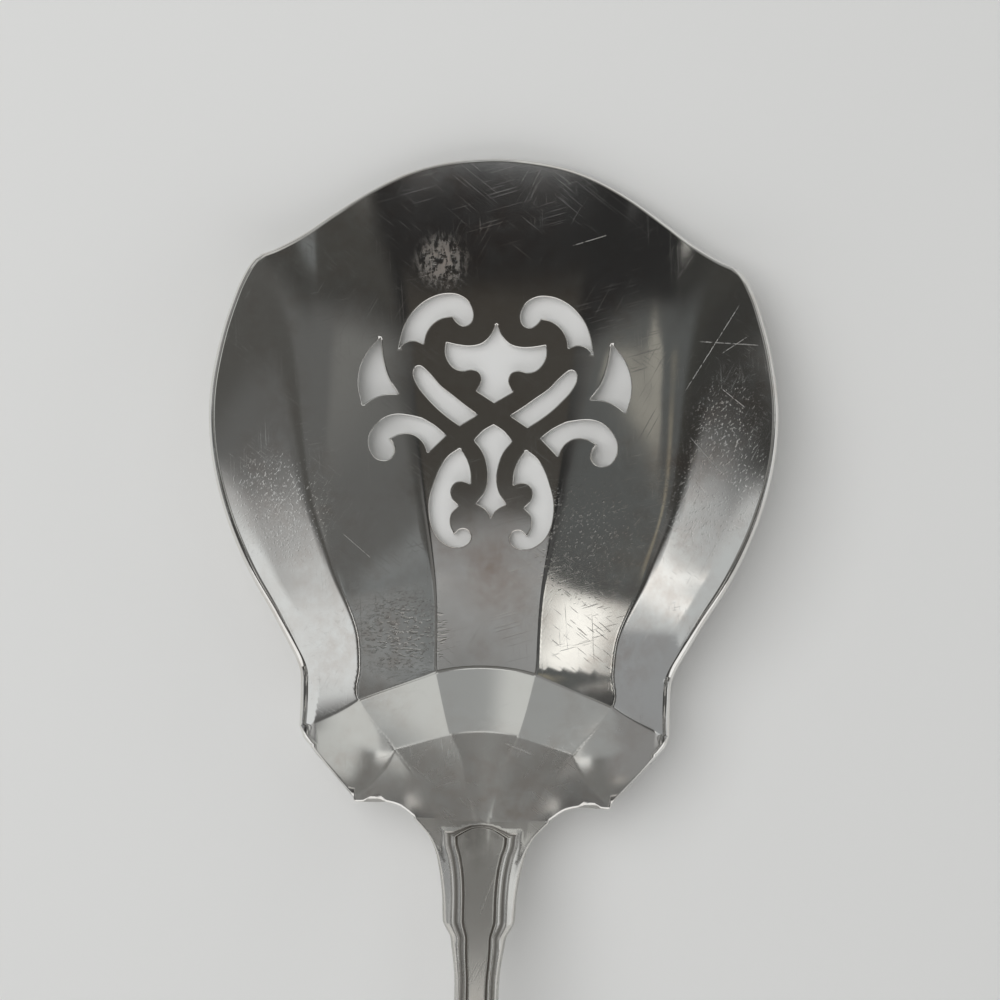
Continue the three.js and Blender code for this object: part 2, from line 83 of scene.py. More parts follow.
def lineStations(stations):
    # straight lines through [place, value] pairs
    places = np.array([s[0] for s in stations], float)
    values = np.array([s[1] for s in stations], float)

    def value(place):
        i = np.clip(np.searchsorted(places, place, side="left") - 1, 0, len(places) - 2)
        share = (place - places[i]) / (places[i + 1] - places[i])
        return values[i] + (values[i + 1] - values[i]) * share

    return value


def splinePoints(points, stepsPerSpan):
    # points along a smooth curve through the given ones
    p = np.array(points, float)
    if len(p) < 3:
        return p
    curve = []
    for i in range(len(p) - 1):
        p0, p1, p2, p3 = p[max(0, i - 1)], p[i], p[i + 1], p[min(len(p) - 1, i + 2)]
        for step in range(stepsPerSpan):
            t = step / stepsPerSpan
            v0, v1 = (p2 - p0) / 2, (p3 - p1) / 2
            cubic, square = 2 * p1 - 2 * p2 + v0 + v1, 3 * p2 - 3 * p1 - 2 * v0 - v1
            curve.append(cubic * t ** 3 + square * t ** 2 + v0 * t + p1)
    return np.array(curve + [p[-1]])


def mirrored(points):
    return (np.array(points) * [-1, 1])[::-1]


# Bowl

bowl = {
    "width": 71.8,
    "length": 65.8,  # floor crease to front tip
    "shoulder": 18.7,  # floor crease to handle joint
    "frontY": 98.5,
    "plate": 1.2,
    "jointWidth": 17.2,
    "jointThickness": 2.6,
    "frontRise": 2.2,
    "frontRiseStart": 0.62,  # share of the length
    "creaseRise": 0.4,
    "creaseRiseLength": 12,
    "wallRise": 4.2,
    "neckRise": 3.2,
    "creaseRounding": 0.3,
    "floorCreaseArch": 0.8,  # in the middle panel
    "shoulderCreaseArch": 0.5,
    "shoulderCreaseMiddle": 7.8,  # behind the floor crease
    "cornerHold": 0.35,  # how far the folds stay folded out at the shoulder's corners
    "cornerBlend": 5,
    "overhang": 2,  # width of sheet that the panels are counted over, outside the widest outline
    "undersideSoftening": 1.2,
    "rimRounding": 0.42,
    "pierceRounding": 0.17,
    "pierceFromFront": 31.4,
    "edgeLeanBlend": 5,  # length over which the rim's edge starts to lean, beside the joint
    "undersideBlend": 6,
    "creaseBlend": 0.8,  # length over which the finish changes at a crease
    "jointColumns": 60,
    "rimSpacing": 0.35,
    "pierceSpacing": 0.25,
    "columnSteps": [11, 18, 12, 14],  # in the panels from the middle out
    "rowSteps": [14, 12, 96],  # in the neck, the wall and the floor
    "creaseGaps": [0.1, 0.2, 0.32, 0.5],  # to the extra lines beside each fold and crease
}

halfBowl = bowl["width"] / 2
creaseY = bowl["frontY"] - bowl["length"]
seamFrontY = creaseY - bowl["shoulder"]


def alongBowl(y):
    distance = y - creaseY
    return distance / np.where(distance > 0, bowl["length"], bowl["shoulder"])


def placeY(along):
    return creaseY + along * (bowl["length"] if along > 0 else bowl["shoulder"])


folds = [
    {
        "across": throughStations([[-1, 0.03], [-0.6, 0.08], [-0.42, 0.125], [-0.04, 0.178], [0.15, 0.192],
                                   [0.34, 0.247], [0.55, 0.295], [1, 0.34]]),
        "slope": throughStations([[-1, 0.04], [-0.45, 0.22], [0, 0.32], [0.45, 0.24], [1, 0.13]]),
        "rounding": throughStations([[-1, 2], [-0.5, 0.35], [0, 0.35], [0.2, 0.6], [0.45, 2.6], [1, 8]]),
    },
    {
        "across": throughStations([[-1, 0.16], [-0.75, 0.23], [-0.55, 0.315], [-0.22, 0.455], [0.05, 0.462],
                                   [0.19, 0.56], [0.33, 0.638], [0.5, 0.665], [0.7, 0.66], [1, 0.62]]),
        "slope": throughStations([[-1, 0.04], [-0.75, 0.24], [-0.57, 0.34], [-0.25, 0.38], [0, 0.38],
                                  [0.5, 0.36], [0.8, 0.3], [1, 0.28]]),
        "cornerSlope": throughStations([[-1, 0.2], [-0.85, 0.235], [-0.6, 0.285], [-0.2, 0.365], [0, 0.38],
                                        [0.2, 0.37]]),
        "rounding": throughStations([[-1, 2], [-0.5, 0.4], [0, 0.4], [0.2, 0.8], [0.45, 3], [1, 10]]),
    },
    {
        "across": throughStations([[-1, 0.5], [-0.4, 0.6], [-0.1, 0.6], [0.03, 0.645], [0.11, 0.7],
                                   [0.2, 0.79], [0.35, 0.9], [1, 0.95]]),
        "slope": throughStations([[-1, 0], [-0.6, 0], [-0.3, 0.25], [0.02, 0.35], [0.2, 0.25], [0.4, 0],
                                  [1, 0]]),
        "rounding": throughStations([[-1, 0.5], [0, 0.5], [0.4, 2.5], [1, 4]]),
    },
]

# the two creases across the shoulder by place in panels, as distances behind the floor crease's middle
floorCreaseOutside = lineStations([[1, bowl["floorCreaseArch"]], [2, 4.4], [3, 7], [4, 13.4]])
shoulderCreaseOutside = lineStations([
    [1, bowl["shoulderCreaseMiddle"] + bowl["shoulderCreaseArch"]], [2, 10.3], [3, 18.3], [4, 32]])
neckSlope = bowl["neckRise"] / (bowl["shoulder"] - bowl["shoulderCreaseMiddle"])


def panelEdges(y):
    # lines that part the panels of the right half, from the middle out
    lines = [np.zeros_like(y)] + [fold["across"](alongBowl(y)) * halfBowl for fold in folds]
    return np.stack(lines + [np.full_like(y, halfBowl + bowl["overhang"])], axis=-1)


def panelPlace(x, y):
    # place across the bowl counted in panels: 0 in the middle and 1 at the first fold
    edges = panelEdges(y)
    across = np.abs(x)
    panel = (across[..., None] > edges[..., 1:-1]).sum(-1)[..., None]
    start = np.take_along_axis(edges, panel, -1)[..., 0]
    end = np.take_along_axis(edges, panel + 1, -1)[..., 0]
    return panel[..., 0] + (across - start) / (end - start)


def floorLine(x, y):
    place = panelPlace(x, y)
    return creaseY - np.where(place < 1, bowl["floorCreaseArch"] * place ** 2, floorCreaseOutside(place))


def shoulderLine(x, y):
    place = panelPlace(x, y)
    middle = bowl["shoulderCreaseMiddle"] + bowl["shoulderCreaseArch"] * place ** 2
    return creaseY - np.where(place < 1, middle, shoulderCreaseOutside(place))


def slopePlace(x, along):
    # the folds flatten toward the joint, and less so beside it
    beside = bowl["cornerHold"] * np.maximum(0, np.abs(x) - bowl["jointWidth"] / 2) / bowl["shoulder"]
    return np.where(along < 0, np.minimum(0, np.hypot(along + 1, beside) - 1), along)


def bowlTop(x, y, softening=0):
    along = alongBowl(y)
    rounding = bowl["creaseRounding"] + softening
    low, high = floorLine(x, y), shoulderLine(x, y)
    wallSlope = bowl["wallRise"] / (low - high)
    front = (bowl["frontY"] - y) / (bowl["frontY"] - placeY(bowl["frontRiseStart"]))
    z = bowl["plate"] + bowl["frontRise"] * np.maximum(0, 1 - front) ** 2
    z = z + bowl["creaseRise"] * clamp01(1 - (y - low) / bowl["creaseRiseLength"]) ** 2
    z = z + wallSlope * foldRamp(low - y, rounding)
    z = z - (wallSlope - neckSlope) * foldRamp(high - y, rounding)
    corner = smoothStep((np.abs(x) - bowl["jointWidth"] / 2) / bowl["cornerBlend"]) * (along < 0)
    for fold in folds:
        distance = np.abs(x) - fold["across"](along) * halfBowl
        slope = fold["slope"](slopePlace(x, along))
        if "cornerSlope" in fold:
            slope = slope + (fold["cornerSlope"](along) - slope) * corner
        z = z + slope * foldRamp(distance, fold["rounding"](along) + softening)
    return z


def normalOf(surface, x, y, step=0.02):
    slopeX = (surface(x + step, y) - surface(x - step, y)) / (2 * step)
    slopeY = (surface(x, y + step) - surface(x, y - step)) / (2 * step)
    normal = np.stack([-slopeX, -slopeY, np.ones_like(slopeX)], axis=-1)
    return normal / np.linalg.norm(normal, axis=-1, keepdims=True)


def softTop(x, y):
    return bowlTop(x, y, bowl["undersideSoftening"])


def bowlThickness(x, y):
    towardJoint = smoothStep(-alongBowl(y))
    towardMiddle = clamp01(1 - (2 * x / bowl["jointWidth"]) ** 2)
    return bowl["plate"] + (bowl["jointThickness"] - bowl["plate"]) * towardJoint * towardMiddle


def bowlRim():
    # right half of the outline, from the front tip to the handle joint
    def at(across, along):
        return [across * halfBowl, placeY(along)]

    front = [at(-0.178, 0.991), at(0, 1), at(0.178, 0.991), at(0.32, 0.97), at(0.46, 0.932), at(0.6, 0.88),
             at(0.7, 0.839), at(0.79, 0.808), at(0.845, 0.793)]
    sides = [
        [at(0.87, 0.782), at(0.895, 0.76), at(0.932, 0.71), at(0.975, 0.62), at(1, 0.51), at(0.985, 0.4),
         at(0.932, 0.29), at(0.85, 0.187), at(0.757, 0.1), at(0.685, 0.025), at(0.66, -0.03)],
        [at(0.656, -0.08), at(0.655, -0.4)],
        [at(0.64, -0.47), at(0.615, -0.515)],
        [at(0.463, -0.87), at(0.445, -0.9), at(0.418, -0.9)],
        [at(0.34, -0.9), at(0.29, -0.93), [bowl["jointWidth"] / 2, seamFrontY]],
    ]
    steps = 8
    curves = [splinePoints(front, steps)[steps:]] + [splinePoints(side, steps) for side in sides]
    return np.concatenate([evenPath(curve, bowl["rimSpacing"]) for curve in curves])


# Pierced pattern: each hole is a chain of stretches that meet in cusps, with x
# from the middle of the bowl and y from the crossing of the two straps

sideHoles = {
    "crescent": [
        [[14.9, 7.9], [16.5, 5.9], [17.4, 3.6], [17.5, 1.4], [16.9, -0.9]],
        [[16.9, -0.9], [15.5, 0.1], [14.1, 0.6], [12.4, 0.7]],
        [[12.4, 0.7], [13.7, 2.7], [14.5, 5.2], [14.9, 7.9]],
    ],
    "upperScroll": [
        [[12.5, 6.7], [12.1, 8.7], [11.4, 10.5], [10.3, 11.9], [8.9, 13], [7.1, 13.7], [5.2, 13.7],
         [3.7, 12.8], [3.1, 11.2], [3.5, 10.1], [4.4, 9.8], [5.2, 10.3], [5.7, 11]],
        [[5.7, 11], [7.1, 10.7], [8.3, 9.9], [9.1, 8.7], [9.4, 7.3]],
        [[9.4, 7.3], [10.5, 7.7], [11.6, 7.5], [12.5, 6.7]],
    ],
    "slot": [
        [[4.4, -3.1], [5.9, -2.1], [7.4, -0.9], [8.7, 0.4], [9.8, 1.7], [10.5, 3.1], [10.4, 4.1],
         [9.6, 4.3], [8.3, 3.2], [7, 1.8], [5.4, 0.6], [3.8, -0.6], [2.2, -1.7]],
        [[2.2, -1.7], [4.4, -3.1]],
    ],
    "lowerScroll": [
        [[6.2, -4.5], [7.7, -3.3], [9.4, -2.4]],
        [[9.4, -2.4], [10.9, -2.1], [12.5, -2], [13.9, -2.4], [15.1, -3.4], [15.9, -4.8], [15.9, -6.3],
         [15.1, -7.6], [13.8, -7.9], [12.9, -7.3], [12.7, -6.2], [13.4, -5.1]],
        [[13.4, -5.1], [12, -4.4], [10.4, -4.4], [9.1, -5.3], [8.4, -6.7]],
        [[8.4, -6.7], [6.2, -4.5]],
    ],
    "teardrop": [
        [[4.3, -6.2], [5.7, -7.2], [6.7, -8.7], [7.4, -10.5], [7.9, -12.3], [8, -14.1], [7.7, -16],
         [6.9, -17.6], [5.5, -18.7], [3.9, -18.9], [2.8, -18.3], [2.5, -17.4]],
        [[2.5, -17.4], [3, -16.7], [3.9, -16.6], [4.7, -17.3]],
        [[4.7, -17.3], [5.3, -16], [5.2, -14.6], [4.3, -13.6]],
        [[4.3, -13.6], [5.1, -12.7], [5.4, -11.6], [4.9, -10.6], [3.9, -10.3], [2.8, -10.6]],
        [[2.8, -10.6], [2.9, -9], [3.4, -7.5], [4.3, -6.2]],
    ],
}
middleHoles = {
    "crown": [
        [[0, 10.1], [0.7, 8.6], [1.8, 7.5], [3.3, 7.1], [4.9, 7.2], [6.4, 7.5]],
        [[6.4, 7.5], [6.5, 6.3], [6.1, 5.2], [5.3, 4.3], [4.2, 4], [3, 4.2], [2, 3.8], [1.7, 2.7],
         [2.3, 1.4]],
        [[2.3, 1.4], [0, 0]],
    ],
    "lyre": [
        [[0, -3], [1.3, -3.8], [2.4, -5]],
        [[2.4, -5], [1.3, -6.4], [0.7, -8.1], [0.5, -10], [0.9, -11.7], [1.9, -13.2]],
        [[1.9, -13.2], [1.1, -13.6], [0.4, -14.2], [0, -15]],
    ],
}


def evenPath(points, spacing):
    # the same path with points at an even spacing, its corners kept
    points = np.array(points)
    kept = [points[0]]
    for point in points[1:]:
        gap = np.linalg.norm(point - kept[-1])
        pieces = max(1, round(gap / spacing))
        kept += [kept[-1] + (point - kept[-1]) * k / pieces for k in range(1, pieces + 1)]
    return np.array(kept)


def holeLoop(stretches):
    curves = [evenPath(splinePoints(stretch, 5), bowl["pierceSpacing"]) for stretch in stretches]
    return np.concatenate([curve[:-1] for curve in curves])


def pierceLoops():
    crossing = [0, bowl["frontY"] - bowl["pierceFromFront"]]
    loops = []
    for stretches in sideHoles.values():
        half = holeLoop(stretches)
        loops += [half + crossing, mirrored(half) + crossing]
    for stretches in middleHoles.values():
        half = holeLoop(stretches)
        end = np.array([stretches[-1][-1]], float)
        half = np.vstack([half, end])
        loops.append(np.vstack([half[:-1], mirrored(half)[:-1]]) + crossing)
    return loops


def rimLine():
    # the upper edge of the rim: the seen outline, drawn in by the lean of the sheet's edge
    half = bowlRim()
    lean = normalOf(softTop, half[:, 0], half[:, 1])[:, :2] * bowlThickness(half[:, 0], half[:, 1])[:, None]
    lean = lean * smoothStep((half[:, 1:] - seamFrontY - 1) / bowl["edgeLeanBlend"])
    # the lean turns suddenly at each crease, so it is averaged along the edge
    reach = 6
    padded = np.vstack([lean[reach:0:-1] * [-1, 1], lean, np.repeat(lean[-1:], reach, axis=0)])
    shift = np.stack([np.convolve(padded[:, k], np.full(2 * reach + 1, 1 / (2 * reach + 1)), "valid")
                      for k in (0, 1)], axis=1)
    return half + shift


def segmentsOf(loop, closed=True):
    ends = np.roll(loop, -1, axis=0) if closed else loop[1:]
    starts = loop if closed else loop[:-1]
    return np.hstack([starts, ends])


def nearestOn(points, segments):
    # distance to the nearest of many short segments, and the level direction toward it
    tree = KDTree(len(segments))
    for i, (x, y) in enumerate(((segments[:, :2] + segments[:, 2:]) / 2).tolist()):
        tree.insert((x, y, 0), i)
    tree.balance()
    found = [[hit[1] for hit in tree.find_n((x, y, 0), 4)] for x, y in points.tolist()]
    near = segments[np.array(found, int).reshape(len(points), -1)]
    start, span = near[..., :2], near[..., 2:] - near[..., :2]
    p = points[:, None, :]
    t = clamp01(((p - start) * span).sum(2) / np.maximum((span ** 2).sum(2), 1e-12))
    away = start + span * t[..., None] - p
    squared = (away ** 2).sum(2)
    best = squared.argmin(1)
    each = np.arange(len(points))
    return np.sqrt(squared[each, best]), away[each, best]


def isInside(points, segments):
    inside = np.zeros(len(points), bool)
    x0, y0, x1, y1 = segments.T
    for first in range(0, len(points), 1000):
        x, y = points[first:first + 1000, 0:1], points[first:first + 1000, 1:2]
        spans = (y0 > y) != (y1 > y)
        rise = np.where(y1 == y0, 1, y1 - y0)
        crossing = x < (x1 - x0) * (y - y0) / rise + x0
        inside[first:first + 1000] = (spans & crossing).sum(1) % 2 == 1
    return inside


def besideLoop(loop, distance, outward):
    # points on a line beside a loop, a given distance inside it or outside it
    after, before = np.roll(loop, -1, axis=0), np.roll(loop, 1, axis=0)
    along = after - before
    side = np.stack([along[:, 1], -along[:, 0]], axis=1)
    side = side / np.maximum(np.linalg.norm(side, axis=1, keepdims=True), 1e-9)
    area = (loop[:, 0] * after[:, 1] - after[:, 0] * loop[:, 1]).sum()
    sign = (1 if area > 0 else -1) * (1 if outward else -1)
    return loop + side * sign * np.reshape(distance, (-1, 1))


roundingReach = 1.7  # an edge's own lines of points reach this many times its rounding
ringShare = 0.93  # a point is left out when it is nearer to some edge than this share of its distance


def roundingRings(radius):
    # distances from an edge at which its rounding gets a line of points
    shares = [1 - math.sin(math.radians(angle)) for angle in (67, 45, 22)] + [1, roundingReach]
    return [radius * share for share in shares]


def ringsBeside(loop, radius, segments, outward=False):
    # lines of points for the rounding of a loop's edge
    rings = []
    for distance in roundingRings(radius):
        ring = besideLoop(loop, distance, outward)
        rings.append(ring[nearestOn(ring, segments)[0] > distance * ringShare])
    return rings


def clearOf(points, segments, radius, gap):
    # the points that lie clear of an edge's rounding
    return points[nearestOn(points, segments)[0] > radius * roundingReach + gap]


def fillOutline(loops, inner):
    # triangles between closed outlines, through the points given inside them
    edges = []
    first = 0
    for loop in loops:
        edges += [(first + k, first + (k + 1) % len(loop)) for k in range(len(loop))]
        first += len(loop)
    flat = np.vstack(loops + [inner])
    result = delaunay_2d_cdt([Vector(p) for p in flat.tolist()], edges, [], 1, 1e-5)
    points = np.array([tuple(v) for v in result[0]])
    faces = np.array([f for f in result[2] if len(f) == 3])
    segments = np.vstack([segmentsOf(loop) for loop in loops])
    return points, faces[isInside(points[faces].mean(1), segments)]


def filletDepth(distance, radius):
    # how far a rounded edge has dropped at a distance from it
    s = clamp01(distance / radius)
    return radius * (1 - np.sqrt(np.maximum(0, 1 - (1 - s) ** 2)))


def selectOnly(piece):
    bpy.ops.object.select_all(action="DESELECT")
    piece.select_set(True)
    bpy.context.view_layer.objects.active = piece


blankHeight = 10  # before a blank is pressed to shape


def sheetObject(name, points, faces):
    # a flat blank of the given outline, extruded to two faces and a wall
    mesh = bpy.data.meshes.new(name)
    mesh.from_pydata([(x, y, 0) for x, y in points], [], faces.tolist())
    piece = bpy.data.objects.new(name, mesh)
    bpy.context.scene.collection.objects.link(piece)
    selectOnly(piece)
    bpy.ops.object.mode_set(mode="EDIT")
    bpy.ops.mesh.select_all(action="SELECT")
    bpy.ops.mesh.delete_loose()
    bpy.ops.mesh.select_all(action="SELECT")
    bpy.ops.mesh.extrude_region_move(TRANSFORM_OT_translate={"value": (0, 0, blankHeight)})
    bpy.ops.mesh.select_all(action="SELECT")
    bpy.ops.mesh.normals_make_consistent(inside=False)
    bpy.ops.object.mode_set(mode="OBJECT")
    return piece


def verticesOf(piece):
    flat = np.empty(len(piece.data.vertices) * 3, np.float32)
    piece.data.vertices.foreach_get("co", flat)
    return flat.reshape(-1, 3).astype(float)


def storeValue(piece, name, values):
    attribute = piece.data.attributes.new(name, "FLOAT", "POINT")
    attribute.data.foreach_set("value", np.asarray(values, np.float32))


def formSheet(piece, faces, edges):
    # presses a flat blank to shape. faces gives the upper and lower points and normals at
    # places of the plan; edges are (segments, rounding above, rounding below)
    blank = verticesOf(piece)
    plan, isUpper = blank[:, :2], blank[:, 2] > blankHeight / 2
    upper, upperNormal, lower, lowerNormal = faces(plan[:, 0], plan[:, 1])
    thickness = np.linalg.norm(upper - lower, axis=1)
    depth, lean = np.zeros(len(plan)), np.zeros(len(plan))
    toward = np.zeros((len(plan), 2))
    for segments, above, below in edges:
        distance, way = nearestOn(plan, segments)
        radius = np.where(isUpper, above, below)
        depth = np.maximum(depth, filletDepth(distance, radius))
        edgeLean = clamp01(1 - distance / radius)
        toward = np.where((edgeLean > lean)[:, None], way, toward)
        lean = np.maximum(lean, edgeLean)
    share = np.where(isUpper, depth / thickness, 1 - depth / thickness)[:, None]
    formed = upper * (1 - share) + lower * share
    # each vertex faces along the surface, and outward where an edge is rounded
    faceNormal = np.where(isUpper[:, None], upperNormal, lowerNormal)
    sideways = outwardDirections(piece, toward)
    sideways = sideways - faceNormal * (sideways * faceNormal).sum(1, keepdims=True)
    sideways = sideways / np.maximum(np.linalg.norm(sideways, axis=1, keepdims=True), 1e-6)
    normals = faceNormal * np.sqrt(1 - lean ** 2)[:, None] + sideways * lean[:, None]
    piece.data.vertices.foreach_set("co", (formed * mm).astype(np.float32).ravel())
    piece.data.update()
    bpy.ops.object.shade_smooth()
    piece.data.normals_split_custom_set_from_vertices(normals.tolist())
    return plan


def outwardDirections(piece, toward):
    # level direction toward the nearest edge; a vertex on an edge takes it from its neighbours
    length = np.linalg.norm(toward, axis=1)
    onEdge = length < 1e-3
    toward = toward / np.maximum(length, 1e-9)[:, None]
    toward[onEdge] = 0
    edges = np.empty(len(piece.data.edges) * 2, np.int32)
    piece.data.edges.foreach_get("vertices", edges)
    edges = edges.reshape(-1, 2)
    summed = np.zeros_like(toward)
    for a, b in ((0, 1), (1, 0)):
        np.add.at(summed, edges[:, a], toward[edges[:, b]])
    summed = summed / np.maximum(np.linalg.norm(summed, axis=1, keepdims=True), 1e-9)
    toward[onEdge] = summed[onEdge]
    return np.hstack([toward, np.zeros((len(toward), 1))])


def sheetLines(steps, gaps):
    # grid lines in bands, each as (band, share, gap after its start, gap before its end),
    # closer together beside the folds that part the bands
    lines = []
    for band, count in enumerate(steps):
        first, last = band == 0, band == len(steps) - 1
        lines.append((band, 0, 0, 0))
        lines += [] if first else [(band, 0, gap, 0) for gap in gaps]
        startGap, endGap = (0 if first else gaps[-1]), (0 if last else gaps[-1])
        lines += [(band, k / count, startGap, endGap) for k in range(1, count)]
        lines += [] if last else [(band, 1, 0, gap) for gap in reversed(gaps)]
    lines.append((len(steps) - 1, 1, 0, 0))
    return np.array(lines, float)


def linePlaces(lines, edges):
    # where grid lines lie between the band edges at each place; edges has the bands last
    band = lines[:, 0].astype(int)
    share, afterStart, beforeEnd = lines[:, 1], lines[:, 2], lines[:, 3]
    return (1 - share) * (edges[..., band] + afterStart) + share * (edges[..., band + 1] - beforeEnd)


def bowlGrid():
    # columns that follow the folds and rows that follow the creases
    columns = sheetLines(bowl["columnSteps"], bowl["creaseGaps"])
    rows = sheetLines(bowl["rowSteps"], bowl["creaseGaps"])

    def acrossAt(y):
        each = np.arange(len(columns))
        return linePlaces(columns, panelEdges(y))[:, each, each]

    def alongAt(x, y):
        shoulder = np.maximum(shoulderLine(x, y), seamFrontY + 1.5)
        edges = np.stack([np.full_like(x, seamFrontY - 0.01), shoulder, floorLine(x, y),
                          np.full_like(x, bowl["frontY"] + 2)], axis=-1)
        each = np.arange(len(rows))
        return linePlaces(rows, edges)[each, :, each]

    y = np.full((len(rows), len(columns)), creaseY)
    for _ in range(16):
        x = acrossAt(y)
        y = alongAt(x, y)
    half = np.stack([x.ravel(), y.ravel()], axis=1)
    return np.vstack([half, half[half[:, 0] > 1e-6] * [-1, 1]])


def makeBowl():
    half = rimLine()
    corner = bowl["jointWidth"] / 2
    jointX = np.linspace(corner, -corner, bowl["jointColumns"] + 1)[1:-1]
    joint = np.stack([jointX, np.full_like(jointX, seamFrontY)], axis=1)
    rim = np.vstack([mirrored(half), half[1:]])
    outer = np.vstack([rim, joint])
    holes = pierceLoops()
    loops = [outer] + holes
    rimSegments = segmentsOf(rim, closed=False)
    outerSegments = segmentsOf(outer)
    holeSegments = np.vstack([segmentsOf(loop) for loop in holes])
    allSegments = np.vstack([outerSegments, holeSegments])
    inner = []
    for loop in loops:
        radius = bowl["rimRounding"] if loop is outer else bowl["pierceRounding"]
        inner += ringsBeside(loop, radius, allSegments, outward=loop is not outer)
    grid = clearOf(bowlGrid(), outerSegments, bowl["rimRounding"], 0.2)
    grid = clearOf(grid, holeSegments, bowl["pierceRounding"], 0.15)
    inner = np.vstack(inner + [grid])
    inner = inner[isInside(inner, allSegments)]
    points, triangles = fillOutline(loops, inner)
    print("Bowl blank pierced:", len(triangles), "faces")
    piece = sheetObject("bowl_silver", points, triangles)

    def faces(x, y):
        upper = np.stack([x, y, bowlTop(x, y)], axis=1)
        softNormal = normalOf(softTop, x, y)
        fade = smoothStep((y - seamFrontY) / bowl["undersideBlend"])
        thickness = bowlThickness(x, y)
        drop = softNormal * (thickness * fade)[:, None]
        drop[:, 2] += thickness * (1 - fade) / softNormal[:, 2]
        lower = np.stack([x, y, softTop(x, y)], axis=1) - drop
        return upper, normalOf(bowlTop, x, y), lower, -softNormal

    plan = formSheet(piece, faces, [
        (rimSegments, bowl["rimRounding"], bowl["rimRounding"]),
        (holeSegments, bowl["pierceRounding"], bowl["pierceRounding"]),
    ])
    # 1 on the walls behind the floor crease, 2 on the neck
    creases = [line(plan[:, 0], plan[:, 1]) for line in (floorLine, shoulderLine)]
    behind = [smoothStep((crease - plan[:, 1]) / bowl["creaseBlend"] + 0.5) for crease in creases]
    storeValue(piece, "shoulder", sum(behind))
    return piece


bowlPiece = makeBowl()
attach(bowlPiece, "root")
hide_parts("bowl")
print("Bowl made:", len(bowlPiece.data.polygons), "faces")


# Seam of hard solder: the bowl's own section at the joint

seam = {
    "thickness": 0.15,
}

jointY = seamFrontY - seam["thickness"]


def sectionFaces(x, y):
    # the bowl's upper and lower faces at the joint, carried back behind it
    front = np.full_like(x, seamFrontY)
    upper = np.stack([x, y, bowlTop(x, front)], axis=1)
    normal = normalOf(softTop, x, front)
    drop = bowlThickness(x, front) / normal[:, 2]
    lower = np.stack([x, y, softTop(x, front) - drop], axis=1)
    return upper, normal, lower, -normal


def makeSeam():
    half = bowl["jointWidth"] / 2
    across = np.linspace(-half, half, bowl["jointColumns"] + 1)
    front = np.stack([across, np.full_like(across, seamFrontY)], axis=1)
    back = np.stack([across[::-1], np.full_like(across, jointY)], axis=1)
    points, triangles = fillOutline([np.vstack([front, back])], np.zeros((0, 2)))
    piece = sheetObject("solder_line", points, triangles)
    side = evenPath([[half, jointY - 1], [half, seamFrontY + 1]], 0.3)
    sides = np.vstack([segmentsOf(side, closed=False), segmentsOf(mirrored(side), closed=False)])
    formSheet(piece, sectionFaces, [(sides, bowl["rimRounding"], bowl["rimRounding"])])
    return piece


seamPiece = makeSeam()
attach(seamPiece, "root")
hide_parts("solder_seam")
print("Seam made")


# Handle

handle = {
    "endY": -98.5,
    "neckWidth": 8.9,
    "stemWidth": 5.5,
    "terminalWidth": 17,
    "thickness": 2.9,
    "edgeThickness": 2.2,
    "terminalThickness": 2.3,
    "bevelDepth": 0.9,
    "archHeight": 15.4,
    "archPlace": 36,
    "endSlope": -0.16,
    "jointBlend": 7,
    "edgeRounding": 0.42,
    "undersideRounding": 0.8,
    "mouldWidest": 0.95,
    "mouldSlimmest": 0.68,
    "mouldWidestFrom": 3.4,  # half width of the frame
    "neckZone": 22,
    "terminalZone": 48,
    "gridStep": 0.45,
    # where tarnish lies in the moulding: place inside the frame, width and strength
    "tarnishLines": [(1.63, 0.13, 1), (0.64, 0.26, 0.7)],
}

handleLength = jointY - handle["endY"]
neckZone, terminalZone = handle["neckZone"], handle["terminalZone"]
neckHalf = handle["neckWidth"] / 2
stemHalf = handle["stemWidth"] / 2
terminalHalf = handle["terminalWidth"] / 2

neckOutline = throughStations([
    [0, bowl["jointWidth"] / 2], [0.9, neckHalf + 3.2], [2.1, neckHalf + 2.15], [3.8, neckHalf + 1.3],
    [5.8, neckHalf + 0.78], [7.6, neckHalf + 0.45], [9.5, neckHalf + 0.22], [11.6, neckHalf + 0.1],
    [12.4, neckHalf], [13.2, neckHalf - 0.42], [14, neckHalf - 0.9], [15.1, stemHalf + 0.6],
    [17, stemHalf + 0.3], [19, stemHalf + 0.08], [neckZone, stemHalf]])
terminalOutline = throughStations([
    [0, 0.5], [0.25, 1.7], [0.8, 3], [2, 4.8], [4, terminalHalf - 1.9], [6.5, terminalHalf - 0.8],
    [9.5, terminalHalf - 0.2], [13, terminalHalf], [17, terminalHalf - 0.5], [20.5, terminalHalf - 1.8],
    [22.6, terminalHalf - 3.2], [23.6, terminalHalf - 3.6], [24.6, terminalHalf - 4.1],
    [27, stemHalf + 1.5], [34, stemHalf + 0.95], [terminalZone, stemHalf + 0.45]])
bevelWidth = throughStations([
    [0, 3.3], [2.8, 1.6], [4.3, 1.45], [5.9, 1.4], [9.5, 1.15], [12.4, 1], [14, 0.85], [16, 0.6],
    [neckZone, 0.45]])

# the arched moulding that closes the frame toward the bowl, by distance from the middle
archDrop = lineStations([
    [0, 0.3], [1.3, 0.42], [2.6, 0.9], [3.5, 1.2], [4.4, 1.25], [5.4, 1.05], [10, 1.05]])
archTightness = lineStations([[0, 4.5], [1.4, 3.2], [3.4, 1.6], [6, 1.4]])
archRelief = lineStations([[0, 0.45], [1.4, 0.6], [3.4, 1], [6, 1]])

